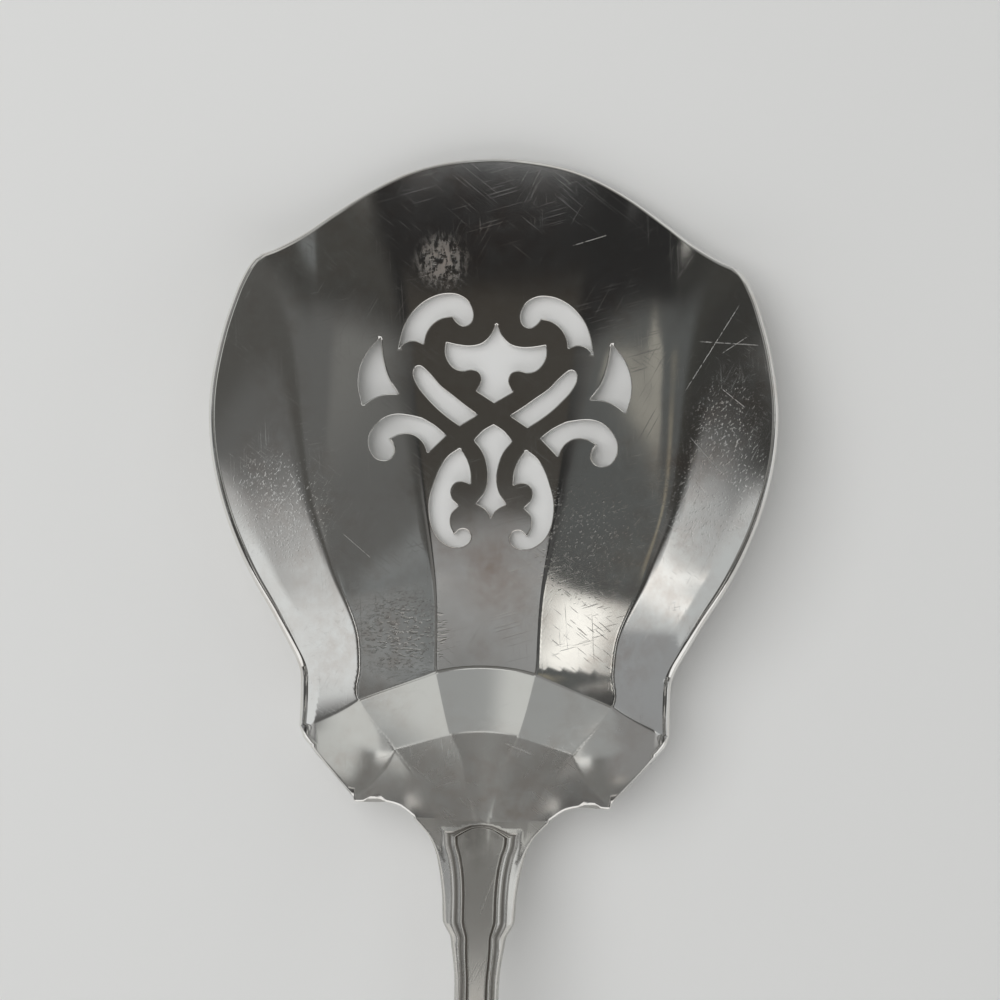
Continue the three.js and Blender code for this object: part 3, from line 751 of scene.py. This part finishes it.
# height of the moulding by distance inside the frame: a ridge, a hollow, a bead and a groove
threadProfile = throughStations([
    [-0.25, 0], [0, 0.12], [0.09, 0.15], [0.2, 0.11], [0.42, -0.04], [0.68, -0.08], [0.95, -0.02],
    [1.15, 0.13], [1.28, 0.18], [1.41, 0.12], [1.56, -0.11], [1.65, -0.14], [1.75, -0.09],
    [1.9, -0.04], [2.2, -0.03]])
threadLines = [-0.25, -0.12, 0, 0.05, 0.1, 0.16, 0.24, 0.34, 0.5, 0.68, 0.86, 1, 1.09, 1.17, 1.23, 1.29,
               1.35, 1.42, 1.49, 1.56, 1.61, 1.66, 1.71, 1.78, 1.88, 2.05]


def handleHalf(y):
    behindJoint = jointY - y
    beforeEnd = y - handle["endY"]
    t = (behindJoint - neckZone) / (handleLength - neckZone - terminalZone)
    stem = stemHalf + (terminalOutline(terminalZone) - stemHalf) * smoothStep(t)
    rear = np.where(beforeEnd < terminalZone, terminalOutline(beforeEnd), stem)
    return np.where(behindJoint < neckZone, neckOutline(behindJoint), rear)


def bevelAt(y):
    return bevelWidth(np.minimum(jointY - y, neckZone))


def mouldShare(y):
    # the moulding is drawn in where the handle is slender
    frameHalf = handleHalf(y) - bevelAt(y)
    widest = handle["mouldWidest"]
    return np.clip(widest * frameHalf / handle["mouldWidestFrom"], handle["mouldSlimmest"], widest)


def handleRows():
    # places along the handle where its outline gets a point, closer at its turns and its end
    neck = np.concatenate([np.arange(0, 2.4, 0.12), np.arange(2.4, 11, 0.3), np.arange(11, 15.2, 0.15),
                           np.arange(15.2, neckZone, 0.4)])
    stem = np.arange(neckZone, handleLength - terminalZone, 0.6)
    end = handleLength - np.concatenate([np.arange(terminalZone, 27, -0.5), np.arange(27, 20, -0.2),
                                         np.arange(20, 4, -0.35), np.arange(4, 0.8, -0.15),
                                         [0.65, 0.5, 0.38, 0.27, 0.18, 0.1, 0.04, 0]])
    return jointY - np.concatenate([neck, stem, end])


handleY = handleRows()
handleSide = np.stack([handleHalf(handleY), handleY], axis=1)
handleSegments = segmentsOf(np.vstack([handleSide, mirrored(handleSide)]), closed=False)


def insideFrame(x, y):
    # distance inside the frame's edge: level in the flared neck, square to the outline elsewhere,
    # and below the arch where that is nearer
    bevel = bevelAt(y)
    level = handleHalf(y) - np.abs(x)
    square = nearestOn(np.stack([x, y], axis=1), handleSegments)[0]
    share = smoothStep((jointY - y - neckZone + 6) / 6)
    side = level * (1 - share) + square * share - bevel
    side = np.where(side > 0, side / mouldShare(y), side)
    arch = (jointY - archDrop(np.abs(x)) - y) * archTightness(np.abs(x))
    return side, arch, bevel


def spineBetween(start, end, t, span):
    z = (2 * t ** 3 - 3 * t ** 2 + 1) * start[0] + (t ** 3 - 2 * t ** 2 + t) * span * start[1]
    return z + (3 * t ** 2 - 2 * t ** 3) * end[0] + (t ** 3 - t ** 2) * span * end[1]


def handleSpine(y):
    joint = (bowlTop(np.zeros(1), np.full(1, seamFrontY))[0], neckSlope)
    arch = (handle["archHeight"], 0)
    end = (handle["terminalThickness"], handle["endSlope"])
    behindJoint = jointY - y
    place = handle["archPlace"]
    span = handleLength - place
    front = spineBetween(joint, arch, clamp01(behindJoint / place), place)
    rear = spineBetween(arch, end, clamp01((behindJoint - place) / span), span)
    return np.where(behindJoint < place, front, rear)


def handlePlainTop(x, y):
    nearJoint = 1 - smoothStep((jointY - y) / handle["jointBlend"])
    front = np.full_like(x, seamFrontY)
    return handleSpine(y) + nearJoint * (bowlTop(x, front) - bowlTop(np.zeros_like(x), front))


def handleMould(x, y):
    side, arch, bevel = insideFrame(x, y)
    under = arch < side
    inside = np.where(under, arch, side)
    relief = threadProfile(np.clip(inside, -0.25, 2.2)) * np.where(under, archRelief(np.abs(x)), 1)
    outside = clamp01(-side / bevel)
    bevelDrop = handle["bevelDepth"] * smoothStep((jointY - y) / handle["jointBlend"])
    return relief - bevelDrop * outside ** 1.5, inside


def handleTop(x, y):
    return handlePlainTop(x, y) + handleMould(x, y)[0]


def handleBottom(x, y):
    share = clamp01(np.abs(x) / handleHalf(y)) ** 2
    nearJoint = 1 - smoothStep((jointY - y) / handle["jointBlend"])
    nearEnd = 1 - smoothStep((y - handle["endY"]) / terminalZone)
    full, thin, end = handle["thickness"], handle["edgeThickness"], handle["terminalThickness"]
    middle = full + (bowl["jointThickness"] - full) * nearJoint + (end - full) * nearEnd
    edge = thin + (bowl["plate"] - thin) * nearJoint - (full - end) * nearEnd / 3
    lean = 1 / normalOf(softTop, x, np.full_like(x, seamFrontY))[:, 2]
    return handlePlainTop(x, y) - (middle - (middle - edge) * share) * (1 + (lean - 1) * nearJoint)


def makeHandle():
    half = bowl["jointWidth"] / 2
    jointX = np.linspace(-half, half, bowl["jointColumns"] + 1)[1:-1]
    joint = np.stack([jointX, np.full_like(jointX, jointY)], axis=1)
    end = np.array([[0.25, handle["endY"]], [0, handle["endY"]], [-0.25, handle["endY"]]])
    outline = np.vstack([handleSide, end, mirrored(handleSide), joint])
    edgeSegments = segmentsOf(np.vstack([handleSide, end, mirrored(handleSide)]), closed=False)
    inner = ringsBeside(outline, handle["edgeRounding"], edgeSegments)
    behind = jointY - handleY
    slope = np.gradient(handleSide[:, 0], handleY)
    square = np.stack([np.ones_like(slope), -slope], axis=1) / np.hypot(1, slope)[:, None]
    level = np.array([[1.0, 0.0]])
    inward = np.where((behind < neckZone - 3)[:, None], level, square)
    archX = np.linspace(0, 6, 61)
    for line in threadLines:
        lane = handleSide - inward * (bevelAt(handleY) + line * mouldShare(handleY))[:, None]
        arch = np.stack([archX, jointY - archDrop(archX) - line / archTightness(archX)], axis=1)
        for points in (lane, arch):
            points = points[(points[:, 0] >= 0) & (points[:, 1] < jointY - 0.04)]
            side, under, _ = insideFrame(points[:, 0], points[:, 1])
            inside = np.minimum(side, under) if line >= 0 else side
            points = points[np.abs(inside - line) < 0.03]
            inner += [points, points * [-1, 1]]
    step = handle["gridStep"]
    across, lengthwise = np.meshgrid(np.arange(-terminalHalf - 0.5, terminalHalf + 0.6, step),
                                     np.arange(handle["endY"], jointY, step))
    grid = np.stack([across.ravel(), lengthwise.ravel()], axis=1)
    side, under, _ = insideFrame(grid[:, 0], grid[:, 1])
    inside = np.minimum(side, under)
    grid = grid[((inside > 2.2) | (side < -0.4) | (under < -0.5)) & (grid[:, 1] < jointY - 0.2)]
    inner = np.vstack(inner + [clearOf(grid, edgeSegments, handle["edgeRounding"], 0.2)])
    inner = inner[isInside(inner, segmentsOf(outline))]
    points, triangles = fillOutline([outline], inner)
    print("Handle blank cut:", len(triangles), "faces")
    piece = sheetObject("handle_silver", points, triangles)

    def faces(x, y):
        upper = np.stack([x, y, handleTop(x, y)], axis=1)
        lower = np.stack([x, y, handleBottom(x, y)], axis=1)
        return upper, normalOf(handleTop, x, y), lower, -normalOf(handleBottom, x, y)

    plan = formSheet(piece, faces, [(edgeSegments, handle["edgeRounding"], handle["undersideRounding"])])
    inside = handleMould(plan[:, 0], plan[:, 1])[1]
    upperFace = verticesOf(piece)[:, 2] / mm > handleBottom(plan[:, 0], plan[:, 1]) + 0.8
    groove = sum(strength * np.exp(-((inside - place) / width) ** 2)
                 for place, width, strength in handle["tarnishLines"])
    storeValue(piece, "groove", clamp01(groove) * upperFace)
    return piece


handlePiece = makeHandle()
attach(handlePiece, "root")
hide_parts("handle")
print("Handle made:", len(handlePiece.data.polygons), "faces")


# Shader maths: a wire carries one output of a node tree, and expressions add nodes

class Wire:
    def __init__(self, tree, socket=None):
        self.tree = tree
        self.socket = socket

    def node(self, kind, settings=None, sockets=None, output=0):
        made = self.tree.nodes.new(kind)
        for key, value in (settings or {}).items():
            if key == "stops":
                ramp = made.color_ramp
                while len(ramp.elements) < len(value):
                    ramp.elements.new(1)
                for element, (place, color) in zip(ramp.elements, value):
                    element.position = place
                    element.color = color
            else:
                setattr(made, key, value)
        for key, value in (sockets or {}).items():
            if isinstance(value, Wire):
                self.tree.links.new(value.socket, made.inputs[key])
            else:
                made.inputs[key].default_value = value
        return Wire(self.tree, made.outputs[output] if made.outputs else None)

    def math(self, operation, *values):
        return self.node("ShaderNodeMath", {"operation": operation}, dict(enumerate(values)))

    def __add__(self, other):
        return self.math("ADD", self, other)

    __radd__ = __add__

    def __sub__(self, other):
        return self.math("SUBTRACT", self, other)

    def __rsub__(self, other):
        return self.math("SUBTRACT", other, self)

    def __mul__(self, other):
        return self.math("MULTIPLY", self, other)

    __rmul__ = __mul__

    def __truediv__(self, other):
        return self.math("DIVIDE", self, other)

    def output(self, index):
        return Wire(self.tree, self.socket.node.outputs[index])

    def clamped(self, low, high):
        # 0 below low, 1 above high, straight between
        return self.node("ShaderNodeMapRange", {"clamp": True}, {0: self, 1: low, 2: high, 3: 0, 4: 1})

    def mix(self, first, second):
        # a colour between two, with this wire as the share of the second
        return self.node("ShaderNodeMix", {"data_type": "RGBA"}, {0: self, 6: first, 7: second}, 2)


def newMaterial(name):
    material = bpy.data.materials.new(name)
    material.use_nodes = True
    material.node_tree.nodes.clear()
    return material, Wire(material.node_tree)


def noise(wire, place, scale, detail=2, roughness=0.5, stretch=(1, 1, 1), turn=0):
    # noise drawn out by the stretch along axes that are turned about Z
    mapped = wire.node("ShaderNodeMapping", {"vector_type": "TEXTURE"}, {
        "Vector": place, "Rotation": (0, 0, turn), "Scale": stretch})
    return wire.node("ShaderNodeTexNoise", {}, {"Vector": mapped, "Scale": scale, "Detail": detail,
                                                "Roughness": roughness})


def spot(wire, place, x, y, z, radius, strength=1):
    # full strength round a point of the object, given in millimetres, fading to 0 at a radius
    middle = (x * mm, y * mm, z * mm)
    distance = wire.node("ShaderNodeVectorMath", {"operation": "DISTANCE"}, {0: place, 1: middle}, 1)
    return (1 - distance / (radius * mm)).clamped(0, 0.8) * strength


def spots(wire, place, marks):
    return sum((spot(wire, place, *mark) for mark in marks), 0)


def singleScratch(wire, place, x, y, angle, length, width):
    # one straight scratch, given by its middle and its angle from across the piece
    turned = wire.node("ShaderNodeMapping", {"vector_type": "TEXTURE"}, {
        "Vector": place, "Location": (x * mm, y * mm, 0), "Rotation": (0, 0, math.radians(angle))})
    along = wire.node("ShaderNodeSeparateXYZ", {}, {0: turned})
    across = along.output(1)
    offLine = across.math("ABSOLUTE", across) / (width * mm)
    offMiddle = along.math("ABSOLUTE", along) / (length / 2 * mm)
    return (1 - offLine).clamped(0, 1) * (1 - offMiddle).clamped(0, 0.3)


# noise of the marks that lie in patches: scale, detail, roughness, stretch and turn, then the
# band of it that shows
markNoise = {
    "dented": ((3300, 1, 0.5, (3.2, 1, 1), 0.1), (0.54, 0.68)),
    "specked": ((3600, 1, 0.5, (1.8, 1, 1), 0.7), (0.62, 0.7)),
    "scuffed": ((2000, 2, 0.6, (1, 2.2, 1), 0.1), (0.42, 0.6)),
}
# what each kind of mark adds to the roughness and to the height
markWear = {
    "hairlines": (0.07, -0.08),
    "scratches": (0.35, -0.9),
    "specked": (0.3, -1.2),
    "dented": (0.2, 1.6),
    "scuffed": (0.45, 1),
}
hairlineTurns = (0.3, 1.1, 1.65, 2.5)
bumpHeight = 0.00001  # in metres, of a height of 1

# places of marks are (x, y, z, radius, strength) and those of scratches
# (x, y, angle, length, width), all in millimetres and degrees
plainSilver = {
    "silver": (0.83, 0.82, 0.79, 1),
    # on the bowl this tarnish colour also paints warm reflections, through the tint spots
    "tarnish": (0.52, 0.4, 0.33, 1),
    "tarnishShare": 0.45,
    "roughness": 0.22,
    "dented": [],
    "scuffed": [],
    "specked": [],
    "tintSpots": [],
    "scratches": [],
    "grain": 0.03,
    "waves": 3,
}
polishedBowl = {
    **plainSilver,
    "roughness": 0.08,
    "shoulder": 0.07,  # added on the walls, and again on the neck
    "dented": [(-11.2, 37, 2.5, 6.6), (-7.4, 84.6, 2, 3.6, 0.5), (-29, 50, 6, 7, 0.2)],
    # the scuffed patch near the front tip is rough and dented, and its share of the colour is a painted
    # golden glint
    "scuffed": [(-7.3, 85, 1.5, 4.2)],
    "specked": [(12.5, 50, 1.5, 9, 0.8), (30, 56, 6, 10, 0.6), (-28, 52, 6, 9, 0.8), (30, 66, 6, 7, 0.5)],
    # tint spots on the bowl are painted warm reflections: reddish ones on the middle panel, a warm one
    # across the top near the front tip and a brownish one beside the right fold
    "tintSpots": [(-3, 86, 3, 15), (-1, 48, 1.5, 9), (1, 44, 1.5, 6), (26, 62, 5, 8)],
    "scratches": [(27.4, 74.3, 60, 15, 0.05), (11.8, 88.3, 18, 5, 0.05), (29.7, 75.2, -4, 8, 0.07),
                  (30.3, 75, 35, 4, 0.05), (30.3, 68.2, -40, 4, 0.06), (27, 61, -50, 6, 0.05),
                  (4.5, 22.9, -20, 4, 0.1), (-17, 48, -40, 5, 0.04)],
}
satinHandle = {
    **plainSilver,
    "silver": (0.80, 0.78, 0.74, 1),
    "tarnish": (0.16, 0.14, 0.12, 1),
    "tarnishShare": 0.16,
    "grooved": 0.9,
    "specked": [(0, -40, 15, 14, 0.3), (0, -88, 5, 14, 0.12)],
    "tintSpots": [(0, 12, 9, 5)],
    "scratches": [(1, 5, 70, 5, 0.06), (-2, -30, 85, 9, 0.06), (3, -86, 40, 9, 0.06)],
    "grain": 0.2,
    "waves": 1.5,
}


def silverMarks(wire, place, look):
    hairlines = 0
    for turn in hairlineTurns:
        line = noise(wire, place, 6500, 0, 0.5, (60, 1, 4), turn).clamped(0.7, 0.78)
        hairlines = hairlines + line * noise(wire, place, 150, 1, 0.5, turn=turn).clamped(0.5, 0.62)
    scratches = sum((singleScratch(wire, place, *scratch) for scratch in look["scratches"]), 0)
    scratches = scratches * noise(wire, place, 1500, 1, 0.6).clamped(0.3, 0.5)
    marks = {"hairlines": hairlines, "scratches": scratches}
    for kind, (grain, band) in markNoise.items():
        marks[kind] = noise(wire, place, *grain).clamped(*band) * spots(wire, place, look[kind])
    return marks


def silverSurface(name, look):
    material, wire = newMaterial(name)
    place = wire.node("ShaderNodeTexCoord", {}, {}, 3)
    marks = silverMarks(wire, place, look)
    haze = noise(wire, place, 70, 3, 0.6).clamped(0.42, 0.7)
    tarnishAndPaintedTint = haze * noise(wire, place, 500, 3, 0.6).clamped(0.35, 0.75) * look["tarnishShare"]
    patches = noise(wire, place, 260, 3, 0.6).clamped(0.3, 0.8)
    # tarnish haze is random tone; on the bowl the tint spots add painted warm reflections to the colour
    # the scuffed patch's share of the colour paints a golden glint
    tarnishAndPaintedTint = tarnishAndPaintedTint + spots(wire, place, look["tintSpots"]) * patches * 0.5 + marks["scuffed"] * 0.3
    rough = look["roughness"] + haze * 0.03
    height = 0
    for kind, mark in marks.items():
        roughening, rise = markWear[kind]
        rough = rough + mark * roughening
        height = height + mark * rise
    if "shoulder" in look:
        shoulder = wire.node("ShaderNodeAttribute", {"attribute_name": "shoulder"}, {}, 2)
        rough = rough + shoulder * look["shoulder"]
    if "grooved" in look:
        groove = wire.node("ShaderNodeAttribute", {"attribute_name": "groove"}, {}, 2)
        tarnishAndPaintedTint = tarnishAndPaintedTint + groove * look["grooved"]
        rough = rough + groove * 0.12
    height = height + noise(wire, place, 4200, 2, 0.6) * look["grain"]
    height = height + noise(wire, place, 110, 1, 0.4) * look["waves"]
    bump = wire.node("ShaderNodeBump", {}, {"Strength": 1, "Distance": bumpHeight, "Height": height})
    color = tarnishAndPaintedTint.clamped(0, 1).mix(look["silver"], look["tarnish"])
    surface = wire.node("ShaderNodeBsdfPrincipled", {}, {
        "Base Color": color, "Metallic": 1, "Roughness": rough.clamped(0, 1), "Normal": bump})
    wire.node("ShaderNodeOutputMaterial", {}, {"Surface": surface})
    return material


polishedSilver = silverSurface("polished_silver", polishedBowl)
satinSilver = silverSurface("satin_silver", satinHandle)
hardSolder = silverSurface("hard_solder", plainSilver)

for piece, material in ((bowlPiece, polishedSilver), (handlePiece, satinSilver), (seamPiece, hardSolder)):
    piece.data.materials.clear()
    piece.data.materials.append(material)
print("Silver finished")


# Table, light and camera

studio = {
    "tableColor": (0.80, 0.80, 0.79, 1),
    "tableSize": 4,
    # light of the world by height, from level to straight up
    "worldTones": [(0, (0.5, 0.5, 0.5, 1)), (0.42, (0.42, 0.42, 0.42, 1)), (0.52, (0.12, 0.12, 0.12, 1)),
                   (0.64, (0.06, 0.06, 0.055, 1)), (0.9, (0.024, 0.024, 0.024, 1))],
    # soft cards round the silver, each in front of those before it: the direction of its middle
    # as parts along X and Y, its half sizes, the softness of its edge, and its light
    "cards": {
        "back_sky": (0, -0.75, 0.85, 0.3, 0.06, (1, 1, 1)),
        "neck": (0.02, 0.34, 0.58, 0.3, 0.08, (0.175, 0.175, 0.17)),
        "neck_stripe": (0.085, 0.36, 0.05, 0.15, 0.03, (0.225, 0.225, 0.22)),
        "left_flank": (0.61, 0.18, 0.25, 0.13, 0.06, (0.127, 0.128, 0.126)),
        "left_edge": (0.75, 0.2, 0.055, 0.13, 0.03, (0.088, 0.087, 0.083)),
        "left_low_flank": (0.5, -0.15, 0.3, 0.23, 0.06, (0.065, 0.064, 0.06)),
        "right_edge": (-0.765, 0.2, 0.08, 0.13, 0.04, (0.042, 0.042, 0.04)),
        "right_flank": (-0.48, 0.17, 0.2, 0.13, 0.05, (0.1, 0.105, 0.105)),
        "overhead": (0.02, 0.05, 0.16, 0.1, 0.04, (0.06, 0.056, 0.05)),
        "warm_band": (-0.53, 0.2, 0.035, 0.07, 0.02, (0.27, 0.25, 0.2)),
        "left_corner": (0.47, 0.475, 0.21, 0.275, 0.08, (0.55, 0.56, 0.55)),
        "right_corner": (-0.52, 0.53, 0.26, 0.33, 0.08, (0.26, 0.26, 0.26)),
        "front": (-0.15, 0.86, 0.45, 0.26, 0.04, (0.33, 0.34, 0.34)),
        "front_left": (0.36, 0.86, 0.35, 0.26, 0.09, (0.61, 0.62, 0.61)),
        "front_right": (-0.6, 0.8, 0.2, 0.22, 0.07, (0.25, 0.25, 0.25)),
        "crease_strip": (0, 0.6, 0.13, 0.06, 0.015, (0.9, 0.91, 0.9)),
        "left_window": (0.97, 0.12, 0.12, 0.34, 0.04, (0.74, 0.76, 0.77)),
        "right_window": (-0.96, 0.2, 0.14, 0.34, 0.05, (0.53, 0.55, 0.56)),
        "right_low_window": (-0.94, -0.05, 0.12, 0.25, 0.04, (0.31, 0.32, 0.33)),
        "right_gleam": (-0.87, 0.25, 0.015, 0.07, 0.01, (1.3, 1.3, 1.28)),
    },
    # dim boxes close above the silver, each seen in one part of it: place and size in metres,
    # radiance and colour
    "boxes": [
        ("key", (-0.32, 0.046, 0.53), (0.05, 0.034), 0.75, (1, 0.98, 0.93)),
        ("key_core", (-0.319, 0.0505, 0.53), (0.026, 0.015), 0.7, (1, 0.99, 0.96)),
        ("low_left_panel", (0.2, 0.03, 0.34), (0.12, 0.04), 0.13, (0.92, 1, 1.05)),
        ("low_middle_panel", (0.001, 0.0405, 0.25), (0.05, 0.018), 0.27, (0.97, 1, 1.03)),
        ("left_fold", (0.215, 0.046, 0.25), (0.07, 0.026), 0.9, (1, 1, 1)),
        ("right_fold", (-0.215, 0.046, 0.25), (0.07, 0.026), 0.7, (1, 1, 1)),
        ("warm_band", (-0.084, 0.1105, 0.25), (0.019, 0.021), 0.22, (1, 0.93, 0.78)),
        ("left_corner", (0.09, 0.035, 0.25), (0.05, 0.09), 0.1, (1, 1, 1)),
        ("right_corner", (-0.09, 0.035, 0.25), (0.05, 0.09), 0.05, (1, 1, 1)),
        ("neck", (0, -0.045, 0.25), (0.22, 0.15), 0.08, (1, 1, 1)),
        ("stem", (0, 0.0085, 0.25), (0.06, 0.047), 0.52, (1, 0.98, 0.94)),
    ],
    # a soft light for the table alone: the silver doesn't show it
    "tableLight": ((-0.45, 0.25, 0.85), (0.9, 0.9), 2.2, (1, 1, 1)),
    "lens": 83.08,
    "camera": (1.114, 54.458, 300),  # in millimetres
    "cameraTurn": 1.7,
}


def makeTable():
    bpy.ops.object.select_all(action="DESELECT")
    bpy.ops.mesh.primitive_plane_add(size=studio["tableSize"], location=(0, 0, -0.00002))
    table = bpy.context.object
    table.name = "table_top"
    material, wire = newMaterial("table_paint")
    place = wire.node("ShaderNodeTexCoord", {}, {}, 3)
    rough = noise(wire, place, 60, 3, 0.5) * 0.1 + 0.55
    surface = wire.node("ShaderNodeBsdfPrincipled", {}, {
        "Base Color": studio["tableColor"], "Roughness": rough})
    wire.node("ShaderNodeOutputMaterial", {}, {"Surface": surface})
    table.data.materials.append(material)


def makeWorld():
    world = bpy.data.worlds.new("studio")
    bpy.context.scene.world = world
    world.use_nodes = True
    world.node_tree.nodes.clear()
    wire = Wire(world.node_tree)
    across = wire.node("ShaderNodeSeparateXYZ", {}, {0: wire.node("ShaderNodeTexCoord")})
    lengthwise, upward = across.output(1), across.output(2)
    light = upward.node("ShaderNodeValToRGB", {"stops": studio["worldTones"]}, {0: upward})
    for x, y, halfX, halfY, softness, color in studio["cards"].values():
        inX = halfX - wire.math("ABSOLUTE", across - x)
        inY = halfY - wire.math("ABSOLUTE", lengthwise - y)
        share = inX.clamped(0, softness) * inY.clamped(0, softness) * upward.clamped(0, 0.02)
        light = share.mix(light, (*color, 1))
    background = wire.node("ShaderNodeBackground", {}, {"Color": light, "Strength": 1})
    plain = wire.node("ShaderNodeBackground", {}, {"Color": studio["tableColor"], "Strength": 1})
    seen = wire.node("ShaderNodeLightPath")
    mixed = wire.node("ShaderNodeMixShader", {}, {0: seen, 1: background, 2: plain})
    wire.node("ShaderNodeOutputWorld", {}, {"Surface": mixed})


def addLamp(name, place, size, radiance, color):
    # a soft box that looks at the middle of the bowl; place and size in metres
    lamp = bpy.data.lights.new(name, "AREA")
    lamp.shape = "RECTANGLE"
    lamp.size, lamp.size_y = size
    lamp.energy = radiance * math.pi * size[0] * size[1]
    lamp.color = color
    holder = bpy.data.objects.new(name, lamp)
    bpy.context.scene.collection.objects.link(holder)
    holder.location = place
    holder.rotation_euler = (Vector((0, 0.05, 0)) - Vector(place)).to_track_quat("-Z", "Y").to_euler()
    holder.visible_camera = False
    return holder


makeTable()
makeWorld()
for name, *settings in studio["boxes"]:
    addLamp(name, *settings)
addLamp("table_light", *studio["tableLight"]).visible_glossy = False

camera = bpy.data.cameras.new("camera")
camera.sensor_width = 36
camera.lens = studio["lens"]
camera.clip_start = 0.01
camera.clip_end = 20
cameraHolder = bpy.data.objects.new("camera", camera)
bpy.context.scene.collection.objects.link(cameraHolder)
cameraHolder.location = [v * mm for v in studio["camera"]]
cameraHolder.rotation_euler = (0, 0, math.radians(studio["cameraTurn"]))
bpy.context.scene.camera = cameraHolder
bpy.context.scene.view_settings.view_transform = "Standard"
print("Studio lit")
